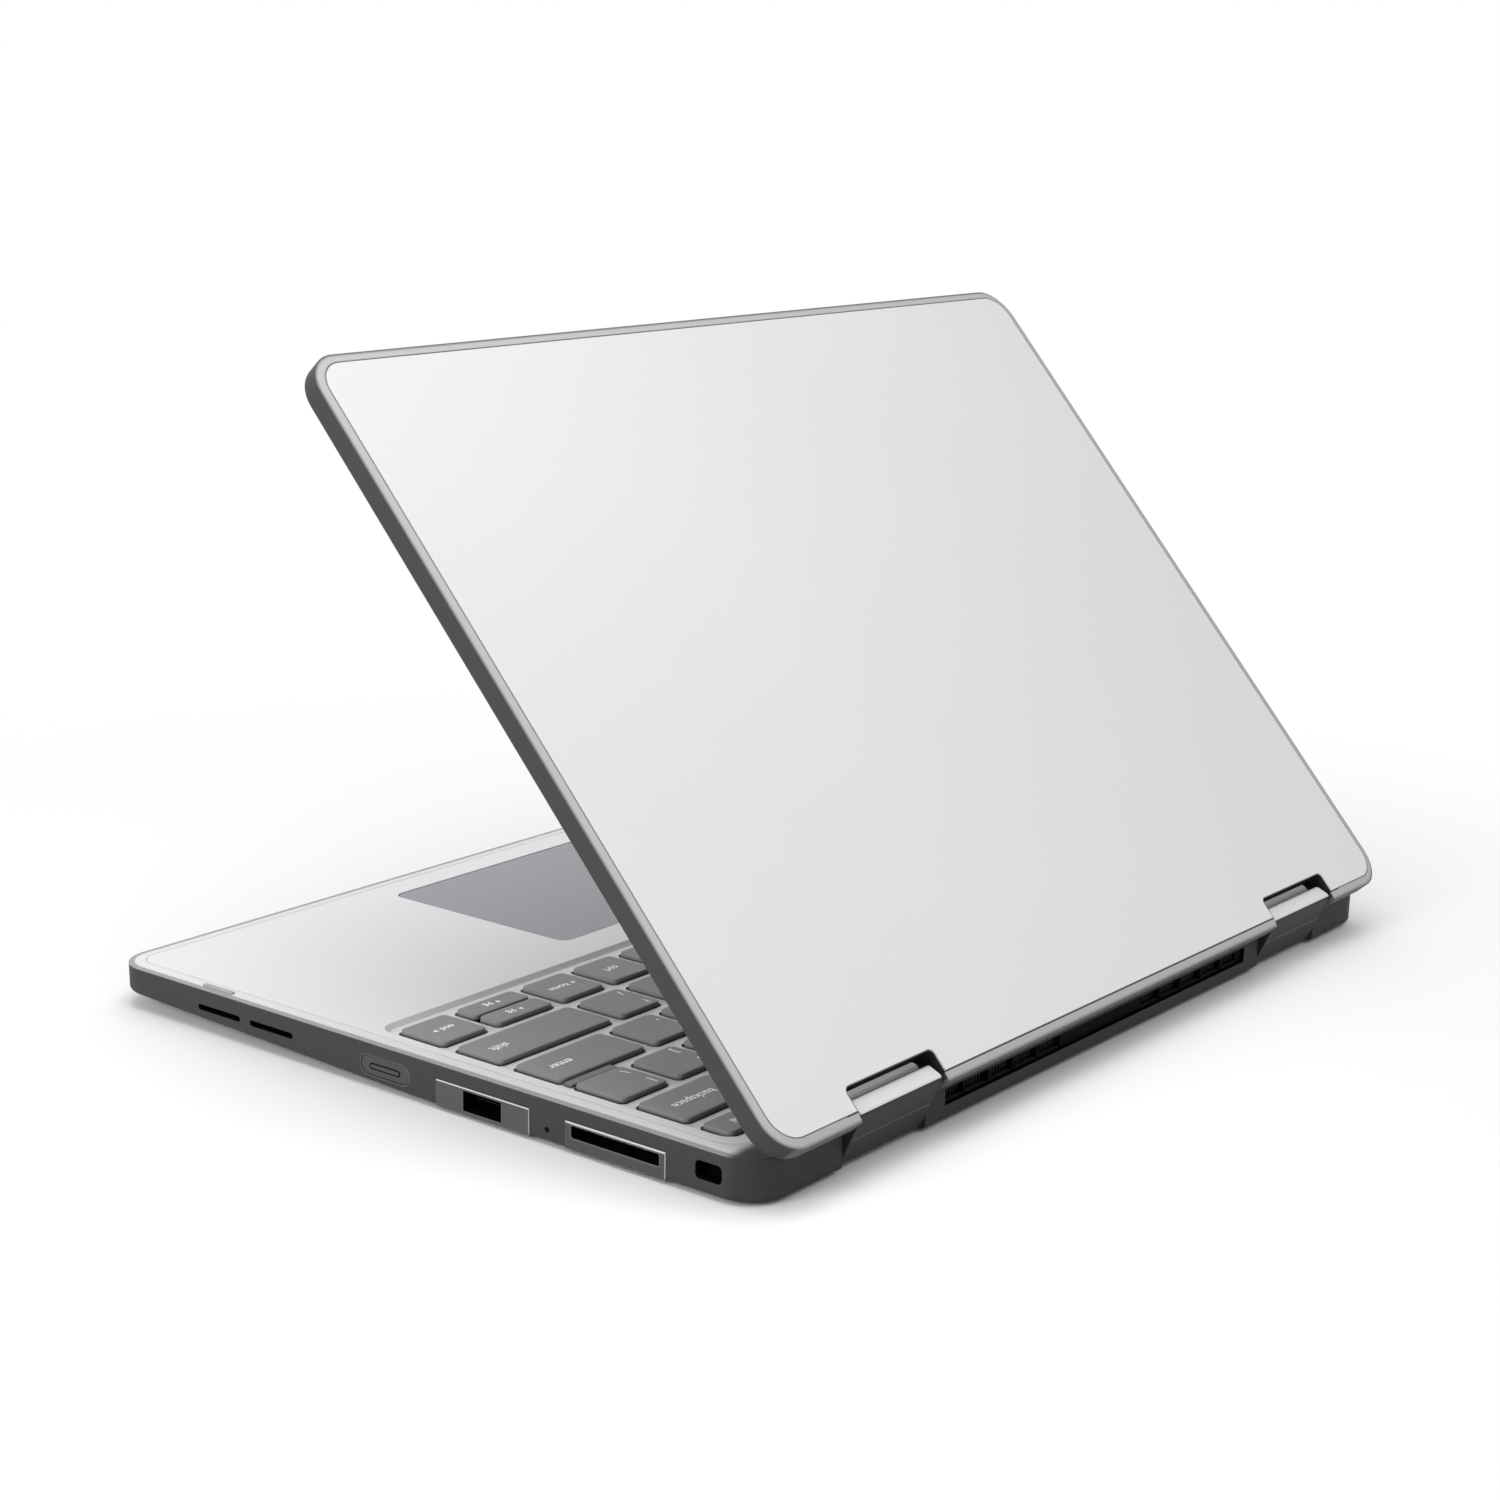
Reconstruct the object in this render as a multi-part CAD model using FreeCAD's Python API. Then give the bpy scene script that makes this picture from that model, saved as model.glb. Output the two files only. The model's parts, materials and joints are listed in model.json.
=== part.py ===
import FreeCAD, Part
import math
import os
from FreeCAD import Vector

# Convertible laptop in millimetres: +X is the user's right, +Y the rear, +Z up, and z = 0 is the desk.
# It stands open at the rest angle, and the lid folds right round on two parallel hinge axes.

# Base
BASE_WIDTH = 287.0
BASE_DEPTH = 213.9
HALF_X = BASE_WIDTH / 2
HALF_Y = BASE_DEPTH / 2
BASE_HEIGHT = 10.8
FOOT_HEIGHT = 1.0
CORNER_RADIUS = 10.0
LEAST_RADIUS = 1.0
BUMPER_WALL = 3.0
RIM_WIDTH = 4.5
RIM_DROP = 0.35
EDGE_ROUND = 1.2
LIFT_SLOPE = 68 / 2259
REAR_BAND = 9.6
COVER_THICK = 1.4
DECK_THICK = 1.4
LEDGE_WIDTH = 1.2
LEDGE_THICK = 1.0
PILL_ROUND = 0.48
FLUSH = 0.1
SEAT_GAP = 0.1
SLIDE_GAP = 0.15
CUT_MARGIN = 2.0

# Lid
LID_SETBACK = 0.6
LID_DEPTH = BASE_DEPTH - LID_SETBACK
LID_THICK = 6.3
CLOSED_GAP = 0.4
LID_WALL = 4.5
LID_RIM_WIDTH = 2.55
LID_RIM_DROP = 0.6
LID_INNER_ROUND = 1.8
PANEL_THICK = 1.2
BEZEL_THICK = 1.2
BEZEL_INSET = 2.7
LID_BAND = 9.6
GLASS_SIDE = 10.5
GLASS_WIDTH = BASE_WIDTH - 2 * GLASS_SIDE
GLASS_BORDERS = 45.9
GLASS_DEPTH = LID_DEPTH - GLASS_BORDERS
GLASS_THICK = 0.8
GLASS_SINK = 0.2
GLASS_RADIUS = 2.0
TOP_BEZEL = 10.6
DISPLAY_MARGIN = 2.0
DISPLAY_THICK = 2.2
CAMERA_WIDTH = 24.0
CAMERA_DEPTH = 3.4
CAMERA_THICK = 2.0
LENS_RADIUS = 1.5
SWITCH_OFFSET = 22.0
SWITCH_WIDTH = 4.0
SWITCH_DEPTH = 2.0
SWITCH_TRAVEL = 3.5
SWITCH_ROUND = 0.65
SWITCH_FOOT = 1.0
SWITCH_FOOT_THICK = 0.5
LID_PAD_RADIUS = 3.0
LID_PAD_THICK = 0.25
LID_PAD_INSET = 8.0

# Hinge: two axes in each block, turned alike by a train of four equal gears
OPEN_ANGLE = 48.0
AXIS_INSET = 2.2
BASE_AXIS_RISE = 3.8
LID_AXIS_DROP = 4.3
NOTCH_SIDE = 30.6
NOTCH_WIDTH = 32.7
NOTCH_OUTER = HALF_X - NOTCH_SIDE
NOTCH_INNER = NOTCH_OUTER - NOTCH_WIDTH
NOTCH_DEPTH = 8.0
NOTCH_WALL = 1.2
NOTCH_ROUND = 1.6
LID_NOTCH_EXTRA = 0.7
BLOCK_SIDE_GAP = 0.5
BLOCK_FRONT = 3.2
BLOCK_END = 3.3
BLOCK_ROUND = 1.4
SHAFT_RADIUS = 1.3
RUN_GAP = 0.05
TENON_RADIUS = 0.9
EYE_RADIUS = 1.5
EYE_GAP = 0.1
BRACKET_THICK = 1.5
FOOT_PLATE_THICK = 1.0
FOOT_PLATE_WIDTH = 13.0
ARM_DEPTH = 4.0
BASE_FOOT_DEPTH = 20.0
LID_FOOT_DEPTH = 40.0
GEAR_TEETH = 12
GEAR_STEPS = 3
GEAR_WIDTH = 3.8
GEAR_ADDENDUM = 0.17
GEAR_DEDENDUM = 0.27
TOOTH_SHARE = 0.40
TOOTH_TIP_SHARE = 0.20
TOOTH_ROOT_SHARE = 0.52
GEAR_POCKET_GAP = 0.1
GEAR_END_WALL = 2.8
JOURNAL_RADIUS = 0.6
JOURNAL_LENGTH = 1.5

# Keyboard: cells are counted in small units, so that every row fills the width
KEYBOARD_SIDE = 8.5
KEYBOARD_WIDTH = BASE_WIDTH - 2 * KEYBOARD_SIDE
KEYBOARD_UNITS = 2700
KEY_UNITS = 188
BACKSPACE_UNITS = 299
BACKSLASH_UNITS = 203
ENTER_UNITS = 344
SHIFT_UNITS = 438
CONTROL_UNITS = 241
ARROW_UNITS = 194
UP_DOWN_UNITS = 240
CELL_UNIT = KEYBOARD_WIDTH / KEYBOARD_UNITS
KEY_PITCH = KEY_UNITS * CELL_UNIT
KEY_GAP = 3.6
KEY_DEPTH = 15.2
KEY_CORNER = 1.0
HOLE_CORNER = 1.2
KEY_HEIGHT = 1.2
KEY_SINK = 0.1
KEY_TRAVEL = 1.5
KEY_HOLE_GAP = 0.45
ROW_PITCH = 18.95
FUNCTION_DEPTH = 8.8
KEYS_SETBACK = 119.55
KEYS_FRONT = HALF_Y - KEYS_SETBACK
BACKSPACE_CELL = BACKSPACE_UNITS * CELL_UNIT
BACKSLASH_CELL = BACKSLASH_UNITS * CELL_UNIT
ENTER_CELL = ENTER_UNITS * CELL_UNIT
SHIFT_CELL = SHIFT_UNITS * CELL_UNIT
CONTROL_CELL = CONTROL_UNITS * CELL_UNIT
ARROW_CELL = ARROW_UNITS * CELL_UNIT
UP_DOWN_CELL = UP_DOWN_UNITS * CELL_UNIT
UP_DOWN_GAP = 0.6
LOWER_ROW_KEYS = 10
HOME_ROW_KEYS = 11
UPPER_ROW_KEYS = 12
NUMBER_ROW_KEYS = 12
FUNCTION_KEYS = 14
WELL_SIDE = 2.6
WELL_FRONT = 5.0
WELL_REAR = 2.8
WELL_DEPTH = 1.1
WELL_SLOPE = 1.4
WELL_RADIUS = 5.0
WELL_FLOOR = 0.8
WELL_FLANGE = 1.4
PLATE_THICK = 0.35
PLATE_RIM = 1.5

# Touchpad
PAD_WIDTH = 108.0
PAD_FRONT_MARGIN = 13.45
PAD_REAR_MARGIN = 11.9
PAD_FRONT = -HALF_Y + PAD_FRONT_MARGIN
PAD_REAR = KEYS_FRONT - WELL_FRONT - PAD_REAR_MARGIN
PAD_DEPTH = PAD_REAR - PAD_FRONT
PAD_CENTRE_Y = (PAD_FRONT + PAD_REAR) / 2
PAD_CORNER = 3.0
TOUCHPAD_THICK = 1.2
PAD_GAP = 0.3
BRACKET_FLANGE = 3.0
PAD_BRACKET_THICK = 0.6
CLICK_TRAVEL = 0.3
DOME_RADIUS = 4.0

# Sides: port cards, button, slots and lock
CARD_LENGTH = 32.0
CARD_WIDTH = 30.0
CARD_HEIGHT = 6.8
CARD_ROUND = 0.5
CARD_SETBACK = 81.95
CARD_FRONT_Y = HALF_Y - CARD_SETBACK
CARD_PITCH = 40.9
BAY_WALL = 1.2
BAY_ROOF = 0.6
PLUG_WIDTH = 8.3
PLUG_HEIGHT = 2.4
PLUG_LENGTH = 5.5
PLUG_GAP = 0.2
TYPE_A_WIDTH = 12.2
TYPE_A_HEIGHT = 5.1
TYPE_A_DEPTH = 13.0
TONGUE_WIDTH = 10.8
TONGUE_THICK = 1.8
TONGUE_DEPTH = 9.0
TONGUE_DROP = 1.1
READER_WIDTH = 26.2
READER_HEIGHT = 3.0
READER_DEPTH = 20.0
READER_RISE = 1.0
READER_ROUND = 0.5
TYPE_C_WIDTH = 9.0
TYPE_C_HEIGHT = 3.2
TYPE_C_DEPTH = 7.0
TYPE_C_TONGUE_WIDTH = 6.0
TYPE_C_TONGUE_THICK = 0.8
TYPE_C_TONGUE_DEPTH = 4.6
BUTTON_LENGTH = 16.0
BUTTON_HEIGHT = 4.6
BUTTON_TO_CARD = 32.0
BUTTON_Y = CARD_FRONT_Y - BUTTON_TO_CARD
LIFT_TO_BUTTON = 13.0
LIFT_START = BUTTON_Y + LIFT_TO_BUTTON
SIDE_CENTRE_RISE = 4.7
BUTTON_SINK = 0.15
BUTTON_FLANGE = 1.0
BUTTON_LIP = 0.2
RIDGE_LENGTH = 10.0
RIDGE_HEIGHT = 1.4
SCREW_SIDE = 12.5
SCREW_X = HALF_X - SCREW_SIDE
SCREW_SETBACK = 10.95
SCREW_FRONT_Y = -HALF_Y + SCREW_SETBACK
SCREW_TO_KEYS = 13.4
SCREW_MIDDLE_Y = KEYS_FRONT - SCREW_TO_KEYS
BOSS_RADIUS = 2.2
SLOT_LENGTH = 15.5
SLOT_HEIGHT = 1.5
SLOT_PITCH = 19.2
SLOT_RISE = 5.6
BATTERY_WIDTH = 224.0
SPEAKER_GAP = 8.5
SPEAKER_DEPTH = HALF_X - BUMPER_WALL - BATTERY_WIDTH / 2 - SPEAKER_GAP
SPEAKER_LENGTH = 40.0
SPEAKER_SLACK = SCREW_MIDDLE_Y - SCREW_FRONT_Y - 2 * BOSS_RADIUS - SPEAKER_LENGTH
REAR_SLACK_SHARE = 41 / 128
SPEAKER_REAR = SCREW_MIDDLE_Y - BOSS_RADIUS - REAR_SLACK_SHARE * SPEAKER_SLACK
SLOT_FRONT_Y = SPEAKER_REAR - (SPEAKER_LENGTH + SLOT_PITCH) / 2
SPEAKER_HEIGHT = 3.2
SPEAKER_MOUTH = SPEAKER_DEPTH / 4
LIGHT_RADIUS = 0.65
LIGHT_Y = CARD_FRONT_Y + CARD_PITCH / 2
LIGHT_RISE = 3.0
LOCK_SETBACK = 13.85
LOCK_Y = HALF_Y - LOCK_SETBACK
LOCK_RISE = 5.4
LOCK_WIDTH = 7.5
LOCK_HEIGHT = 4.4
LOCK_ROUND = 1.2
LOCK_PLATE = 1.2
LOCK_BORDER = 0.7
JACK_RADIUS = 1.8
JACK_NOSE = 2.8
JACK_Y = BUTTON_Y
JACK_WIDTH = 6.4
JACK_HEIGHT = 5.4
JACK_LENGTH = 13.0
JACK_BORE = 12.0

# Rear vent
VENT_SIDE = 7.9
VENT_HALF = NOTCH_INNER - VENT_SIDE
VENT_HEIGHT = 4.2
VENT_RISE = 5.8
RIB_FIRST_SHARE = 190 / 723
RIB_FIRST = VENT_HALF * RIB_FIRST_SHARE
RIB_PITCH_SHARE = 215 / 1446
RIB_PITCH = VENT_HALF * RIB_PITCH_SHARE
RIB_COUNT = 5
RIB_THICK = 1.0
GRILLE_THICK = 1.2
GRILLE_BORDER = 0.4

# Inside
BOARD_SIDE = 39.5
BOARD_WIDTH = BASE_WIDTH - 2 * BOARD_SIDE
BOARD_LEFT = -BOARD_WIDTH / 2
BOARD_DEPTH = 76.0
BOARD_SETBACK = 16.95
BOARD_REAR = HALF_Y - BOARD_SETBACK
BOARD_FRONT = BOARD_REAR - BOARD_DEPTH
MEMORY_WIDTH = 67.6
MEMORY_DEPTH = 30.0
MEMORY_INSET = 0.3
MEMORY_X = BOARD_WIDTH / 2 - MEMORY_INSET - MEMORY_WIDTH / 2
MEMORY_RISE = 18.0
MEMORY_Y = BOARD_FRONT + MEMORY_RISE
BOARD_THICK = 1.0
STANDOFF_HEIGHT = 1.0
STANDOFF_RADIUS = 2.5
CHIP_SIZE = 26.0
CHIP_GAP = 1.1
CHIP_X = MEMORY_X - MEMORY_WIDTH / 2 - CHIP_GAP - CHIP_SIZE / 2
CHIP_RISE = 48.0
CHIP_Y = BOARD_FRONT + CHIP_RISE
CHIP_THICK = 1.4
FAN_ACROSS = 58.0
FAN_X = BOARD_LEFT + FAN_ACROSS
FAN_RISE = 52.0
FAN_Y = BOARD_FRONT + FAN_RISE
FAN_SIZE = 50.0
FAN_HEIGHT = 4.8
FAN_WALL = 0.8
FAN_INLET = 15.0
FAN_CLEARANCE = 1.0
BLADE_RADIUS = 22.0
BLADE_HEIGHT = 2.6
BLADE_COUNT = 15
BLADE_THICK = 0.7
BLADE_SWEEP = 32.0
HUB_RADIUS = 9.0
HUB_FLOAT = 0.3
FAN_PIN = 1.0
FIN_DEPTH = 9.0
FIN_COUNT = 17
FIN_THICK = 0.5
FIN_HEIGHT = 3.9
FIN_PLATE = 0.6
PIPE_WIDTH = 6.0
PIPE_THICK = 1.6
PIPE_BEND = 10.0
SADDLE_LAP = 0.4
MODULE_THICK = 0.9
MODULE_LIFT = 1.2
CHIP_HEIGHT = 1.0
CHIP_SHARE = 0.7
MEMORY_CHIPS = 4
SOCKET_DEPTH = 4.0
SOCKET_HEIGHT = 3.0
CARD22_WIDTH = 22.0
CARD22_DEPTH = 30.0
STORAGE_ACROSS = 20.0
STORAGE_X = BOARD_LEFT + STORAGE_ACROSS
WIRELESS_ACROSS = 12.0
WIRELESS_X = BOARD_LEFT + WIRELESS_ACROSS
STORAGE_RISE = 16.0
STORAGE_Y = BOARD_FRONT + STORAGE_RISE
WIRELESS_RISE = 54.0
WIRELESS_Y = BOARD_FRONT + WIRELESS_RISE
BATTERY_FRONT_GAP = 16.95
BATTERY_REAR_GAP = 6.4
BATTERY_FRONT = -HALF_Y + BATTERY_FRONT_GAP
BATTERY_REAR = KEYS_FRONT - WELL_FRONT - BATTERY_REAR_GAP
BATTERY_THICK = 3.3
BATTERY_CELLS = 4
CELL_GROOVE = 0.6
CELL_GROOVE_WIDTH = 2.0

# Feet and screws
FOOT_LENGTH = 46.0
FOOT_WIDTH = 7.0
FOOT_SIDE = 55.5
FOOT_X = HALF_X - FOOT_SIDE
FOOT_SETBACK = 18.95
FRONT_FOOT_Y = -HALF_Y + FOOT_SETBACK
REAR_FOOT_Y = HALF_Y - FOOT_SETBACK
SCREW_RADIUS = 1.0
SCREW_HEAD_RADIUS = 1.9
SCREW_HEAD = 0.8
INTAKE_COUNT = 7
INTAKE_PITCH = 5.0
INTAKE_WIDTH = 2.4
INTAKE_LENGTH = 30.0
INTAKE_CORNER = 0.8

# Derived levels
BOTTOM = FOOT_HEIGHT
DECK = BOTTOM + BASE_HEIGHT
FLOOR = BOTTOM + COVER_THICK
LID_INNER = DECK + CLOSED_GAP
LID_OUTER = LID_INNER + LID_THICK
LID_FRONT = HALF_Y - LID_DEPTH
AXIS_Y = HALF_Y - AXIS_INSET
BASE_AXIS_Z = BOTTOM + BASE_AXIS_RISE
LID_AXIS_Z = LID_OUTER - LID_AXIS_DROP
AXIS_SPACING = LID_AXIS_Z - BASE_AXIS_Z
BLOCK_INNER = NOTCH_INNER + BLOCK_SIDE_GAP
BLOCK_OUTER = NOTCH_OUTER - BLOCK_SIDE_GAP
LEDGE_TOP = DECK - DECK_THICK
CAVITY_TOP = LEDGE_TOP - LEDGE_THICK
SIDE_CENTRE_Z = BOTTOM + SIDE_CENTRE_RISE
CARD_TOP = BOTTOM + CARD_HEIGHT
CARD_YS = (CARD_FRONT_Y, CARD_FRONT_Y + CARD_PITCH)
WELL_TOP = DECK - WELL_DEPTH
WELL_UNDER = WELL_TOP - WELL_FLOOR
KEY_TOP = DECK - KEY_SINK
PLATE_TOP = KEY_TOP - KEY_HEIGHT - KEY_TRAVEL - RUN_GAP
BOARD_UNDER = FLOOR + STANDOFF_HEIGHT
BOARD_TOP = BOARD_UNDER + BOARD_THICK
CHIP_TOP = BOARD_TOP + CHIP_THICK
FIN_UNDER = FLOOR + SEAT_GAP
PIPE_UNDER = FIN_UNDER + FIN_HEIGHT + FIN_PLATE
GEAR_RADIUS = AXIS_SPACING / (2 * GEAR_STEPS)


def box(x0, x1, y0, y1, z0, z1):
    return Part.makeBox(x1 - x0, y1 - y0, z1 - z0, Vector(x0, y0, z0))


def arc(start, middle, end):
    return Part.Arc(start, middle, end).toShape()


def outline(x0, x1, y0, y1, z, radius):
    bend = radius * (1 - math.sqrt(0.5))
    corners = [(x1, y0, -1, 1), (x1, y1, -1, -1), (x0, y1, 1, -1), (x0, y0, 1, 1)]
    arcs = []
    for index, (x, y, toward_x, toward_y) in enumerate(corners):
        along_x = Vector(x + toward_x * radius, y, z)
        along_y = Vector(x, y + toward_y * radius, z)
        middle = Vector(x + toward_x * bend, y + toward_y * bend, z)
        ends = (along_x, along_y) if index % 2 == 0 else (along_y, along_x)
        arcs.append((ends[0], middle, ends[1]))
    sides = []
    for before, after in zip(arcs[-1:] + arcs[:-1], arcs):
        sides.append(Part.makeLine(before[2], after[0]))
        sides.append(arc(*after))
    return Part.Wire(sides)


def slab(x0, x1, y0, y1, z0, z1, radius):
    return Part.Face(outline(x0, x1, y0, y1, z0, radius)).extrude(Vector(0, 0, z1 - z0))


def cut_corner_slab(x0, x1, y0, y1, z0, z1, cut):
    points = [(x0 + cut, y0), (x1 - cut, y0), (x1, y0 + cut), (x1, y1 - cut)]
    points += [(x1 - cut, y1), (x0 + cut, y1), (x0, y1 - cut), (x0, y0 + cut)]
    wire = Part.makePolygon([Vector(x, y, z0) for x, y in points + points[:1]])
    return Part.Face(wire).extrude(Vector(0, 0, z1 - z0))


def inset_radius(inset):
    return max(CORNER_RADIUS - inset, LEAST_RADIUS)


def base_slab(inset, rear_inset, z0, z1):
    x = HALF_X - inset
    return slab(-x, x, -HALF_Y + inset, HALF_Y - rear_inset, z0, z1, inset_radius(inset))


def lid_slab(inset, rear_inset, z0, z1):
    x = HALF_X - inset
    return slab(-x, x, LID_FRONT + inset, HALF_Y - rear_inset, z0, z1, inset_radius(inset))


def frustum(front, inset0, z0, inset1, z1):
    rings = []
    for inset, z in ((inset0, z0), (inset1, z1)):
        x = HALF_X - inset
        rings.append(outline(-x, x, front + inset, HALF_Y - inset, z, inset_radius(inset)))
    return Part.makeLoft(rings, True, True)


def rod_x(x0, x1, y, z, radius):
    return Part.makeCylinder(radius, x1 - x0, Vector(x0, y, z), Vector(1, 0, 0))


def rod_z(x, y, z0, z1, radius):
    return Part.makeCylinder(radius, z1 - z0, Vector(x, y, z0), Vector(0, 0, 1))


def prism_x(points, x0, x1):
    wire = Part.makePolygon([Vector(x0, y, z) for y, z in points + points[:1]])
    return Part.Face(wire).extrude(Vector(x1 - x0, 0, 0))


def side_slot(x0, x1, y, z, length, height, radius):
    # Drawn flat, then stood up on its edge in a side wall.
    flat = slab(-height / 2, height / 2, -length / 2, length / 2, 0, x1 - x0, radius)
    flat.rotate(Vector(0, 0, 0), Vector(0, 1, 0), 90)
    flat.translate(Vector(x0, y, z))
    return flat


def side_pill(x0, x1, y, z, length, height):
    return side_slot(x0, x1, y, z, length, height, PILL_ROUND * height)


def mirrored(shape):
    return shape.mirror(Vector(0, 0, 0), Vector(1, 0, 0))


def pair(shape):
    return Part.makeCompound([shape, mirrored(shape)])


def cut_all(shape, tools):
    return shape.cut(Part.makeCompound(tools))


def edges_where(shape, test):
    return [edge for edge in shape.Edges if all(test(vertex.Point) for vertex in edge.Vertexes)]


def swing_link(shape):
    shape.rotate(Vector(0, AXIS_Y, BASE_AXIS_Z), Vector(-1, 0, 0), OPEN_ANGLE / 2)
    return shape


def swing_lid(shape):
    shape.rotate(Vector(0, AXIS_Y, LID_AXIS_Z), Vector(-1, 0, 0), OPEN_ANGLE / 2)
    return swing_link(shape)


def underside(y):
    return BOTTOM + max(LIFT_START - y, 0) * LIFT_SLOPE


def above_underside(lift):
    front = -HALF_Y - CUT_MARGIN
    rear = HALF_Y + CUT_MARGIN
    points = [(front, underside(front) + lift), (LIFT_START, BOTTOM + lift), (rear, BOTTOM + lift)]
    points += [(rear, LID_OUTER), (front, LID_OUTER)]
    return prism_x(points, -HALF_X - CUT_MARGIN, HALF_X + CUT_MARGIN)


def notch(extra, z0, z1):
    inner = NOTCH_INNER - extra
    outer = NOTCH_OUTER + extra
    rear = HALF_Y + NOTCH_DEPTH
    return slab(inner, outer, HALF_Y - NOTCH_DEPTH - extra, rear, z0, z1, NOTCH_ROUND)


def eye_pocket(x0, z, wall):
    radius = EYE_RADIUS + EYE_GAP
    x1 = x0 + BRACKET_THICK + 2 * EYE_GAP
    front = HALF_Y - wall - ARM_DEPTH - 2 * SEAT_GAP
    mouth = box(x0, x1, front, AXIS_Y, z - radius, z + radius)
    return rod_x(x0, x1, AXIS_Y, z, radius).fuse(mouth)


# Key cells run from the left end of each row, and None takes what is left of the row.
SPACE_ROW = (CONTROL_CELL, KEY_PITCH, KEY_PITCH, KEY_PITCH, None, KEY_PITCH, KEY_PITCH)
ARROW_ROW = (ARROW_CELL, UP_DOWN_CELL, ARROW_CELL)
ROWS = [
    SPACE_ROW + ARROW_ROW,
    (None,) + (KEY_PITCH,) * LOWER_ROW_KEYS + (SHIFT_CELL,),
    (None,) + (KEY_PITCH,) * HOME_ROW_KEYS + (ENTER_CELL,),
    (None,) + (KEY_PITCH,) * UPPER_ROW_KEYS + (BACKSLASH_CELL,),
    (None,) + (KEY_PITCH,) * NUMBER_ROW_KEYS + (BACKSPACE_CELL,),
    (KEYBOARD_WIDTH / FUNCTION_KEYS,) * FUNCTION_KEYS,
]
SPACE_INDEX = SPACE_ROW.index(None)
UP_DOWN_INDEX = len(SPACE_ROW) + 1
KEYS_REAR = KEYS_FRONT + (len(ROWS) - 1) * ROW_PITCH + FUNCTION_DEPTH
WELL_X = KEYBOARD_WIDTH / 2 - KEY_GAP / 2 + WELL_SIDE
WELL_Y0 = KEYS_FRONT - WELL_FRONT
WELL_Y1 = KEYS_REAR + WELL_REAR


def key_rectangles(row):
    cells = ROWS[row]
    rest = KEYBOARD_WIDTH - sum(cell for cell in cells if cell)
    y0 = KEYS_FRONT + row * ROW_PITCH
    y1 = y0 + (FUNCTION_DEPTH if row == len(ROWS) - 1 else KEY_DEPTH)
    left = -KEYBOARD_WIDTH / 2
    rectangles = []
    for cell in cells:
        width = cell or rest
        rectangles.append((left + KEY_GAP / 2, left + width - KEY_GAP / 2, y0, y1))
        left += width
    return rectangles


def key_cap(x0, x1, y0, y1):
    return cut_corner_slab(x0, x1, y0, y1, KEY_TOP - KEY_HEIGHT, KEY_TOP, KEY_CORNER)


def key_group(row, wanted):
    caps = [key_cap(*place) for index, place in enumerate(key_rectangles(row)) if wanted(index)]
    return Part.makeCompound(caps)


def arrow_keys():
    places = key_rectangles(0)
    x0, x1, y0, y1 = places[UP_DOWN_INDEX]
    half = (y1 - y0 - UP_DOWN_GAP) / 2
    caps = [key_cap(*places[UP_DOWN_INDEX - 1]), key_cap(*places[UP_DOWN_INDEX + 1])]
    caps += [key_cap(x0, x1, y0, y0 + half), key_cap(x0, x1, y1 - half, y1)]
    return Part.makeCompound(caps)


def key_holes():
    holes = []
    gap = KEY_HOLE_GAP
    for row in range(len(ROWS)):
        for x0, x1, y0, y1 in key_rectangles(row):
            sides = (x0 - gap, x1 + gap, y0 - gap, y1 + gap)
            holes.append(cut_corner_slab(*sides, WELL_UNDER - gap, DECK, HOLE_CORNER))
    return holes


def screw_places():
    places = [(side * SCREW_X, y) for side in (-1, 1) for y in (SCREW_FRONT_Y, SCREW_MIDDLE_Y)]
    return places + [(0, SCREW_FRONT_Y)]


def card_box(y, gap):
    x0 = HALF_X - CARD_LENGTH - gap
    y0 = y - CARD_WIDTH / 2 - gap
    y1 = y + CARD_WIDTH / 2 + gap
    return box(x0, HALF_X + CUT_MARGIN, y0, y1, BOTTOM - CUT_MARGIN, CARD_TOP + gap)


def bay_box(gap):
    x0 = HALF_X - CARD_LENGTH - SLIDE_GAP - BAY_WALL
    y0 = CARD_YS[0] - CARD_WIDTH / 2 - SLIDE_GAP - BAY_WALL
    y1 = CARD_YS[1] + CARD_WIDTH / 2 + SLIDE_GAP + BAY_WALL
    top = CARD_TOP + SLIDE_GAP + BAY_ROOF
    return box(x0 - gap, HALF_X - BUMPER_WALL, y0 - gap, y1 + gap, BOTTOM - gap, top)


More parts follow.
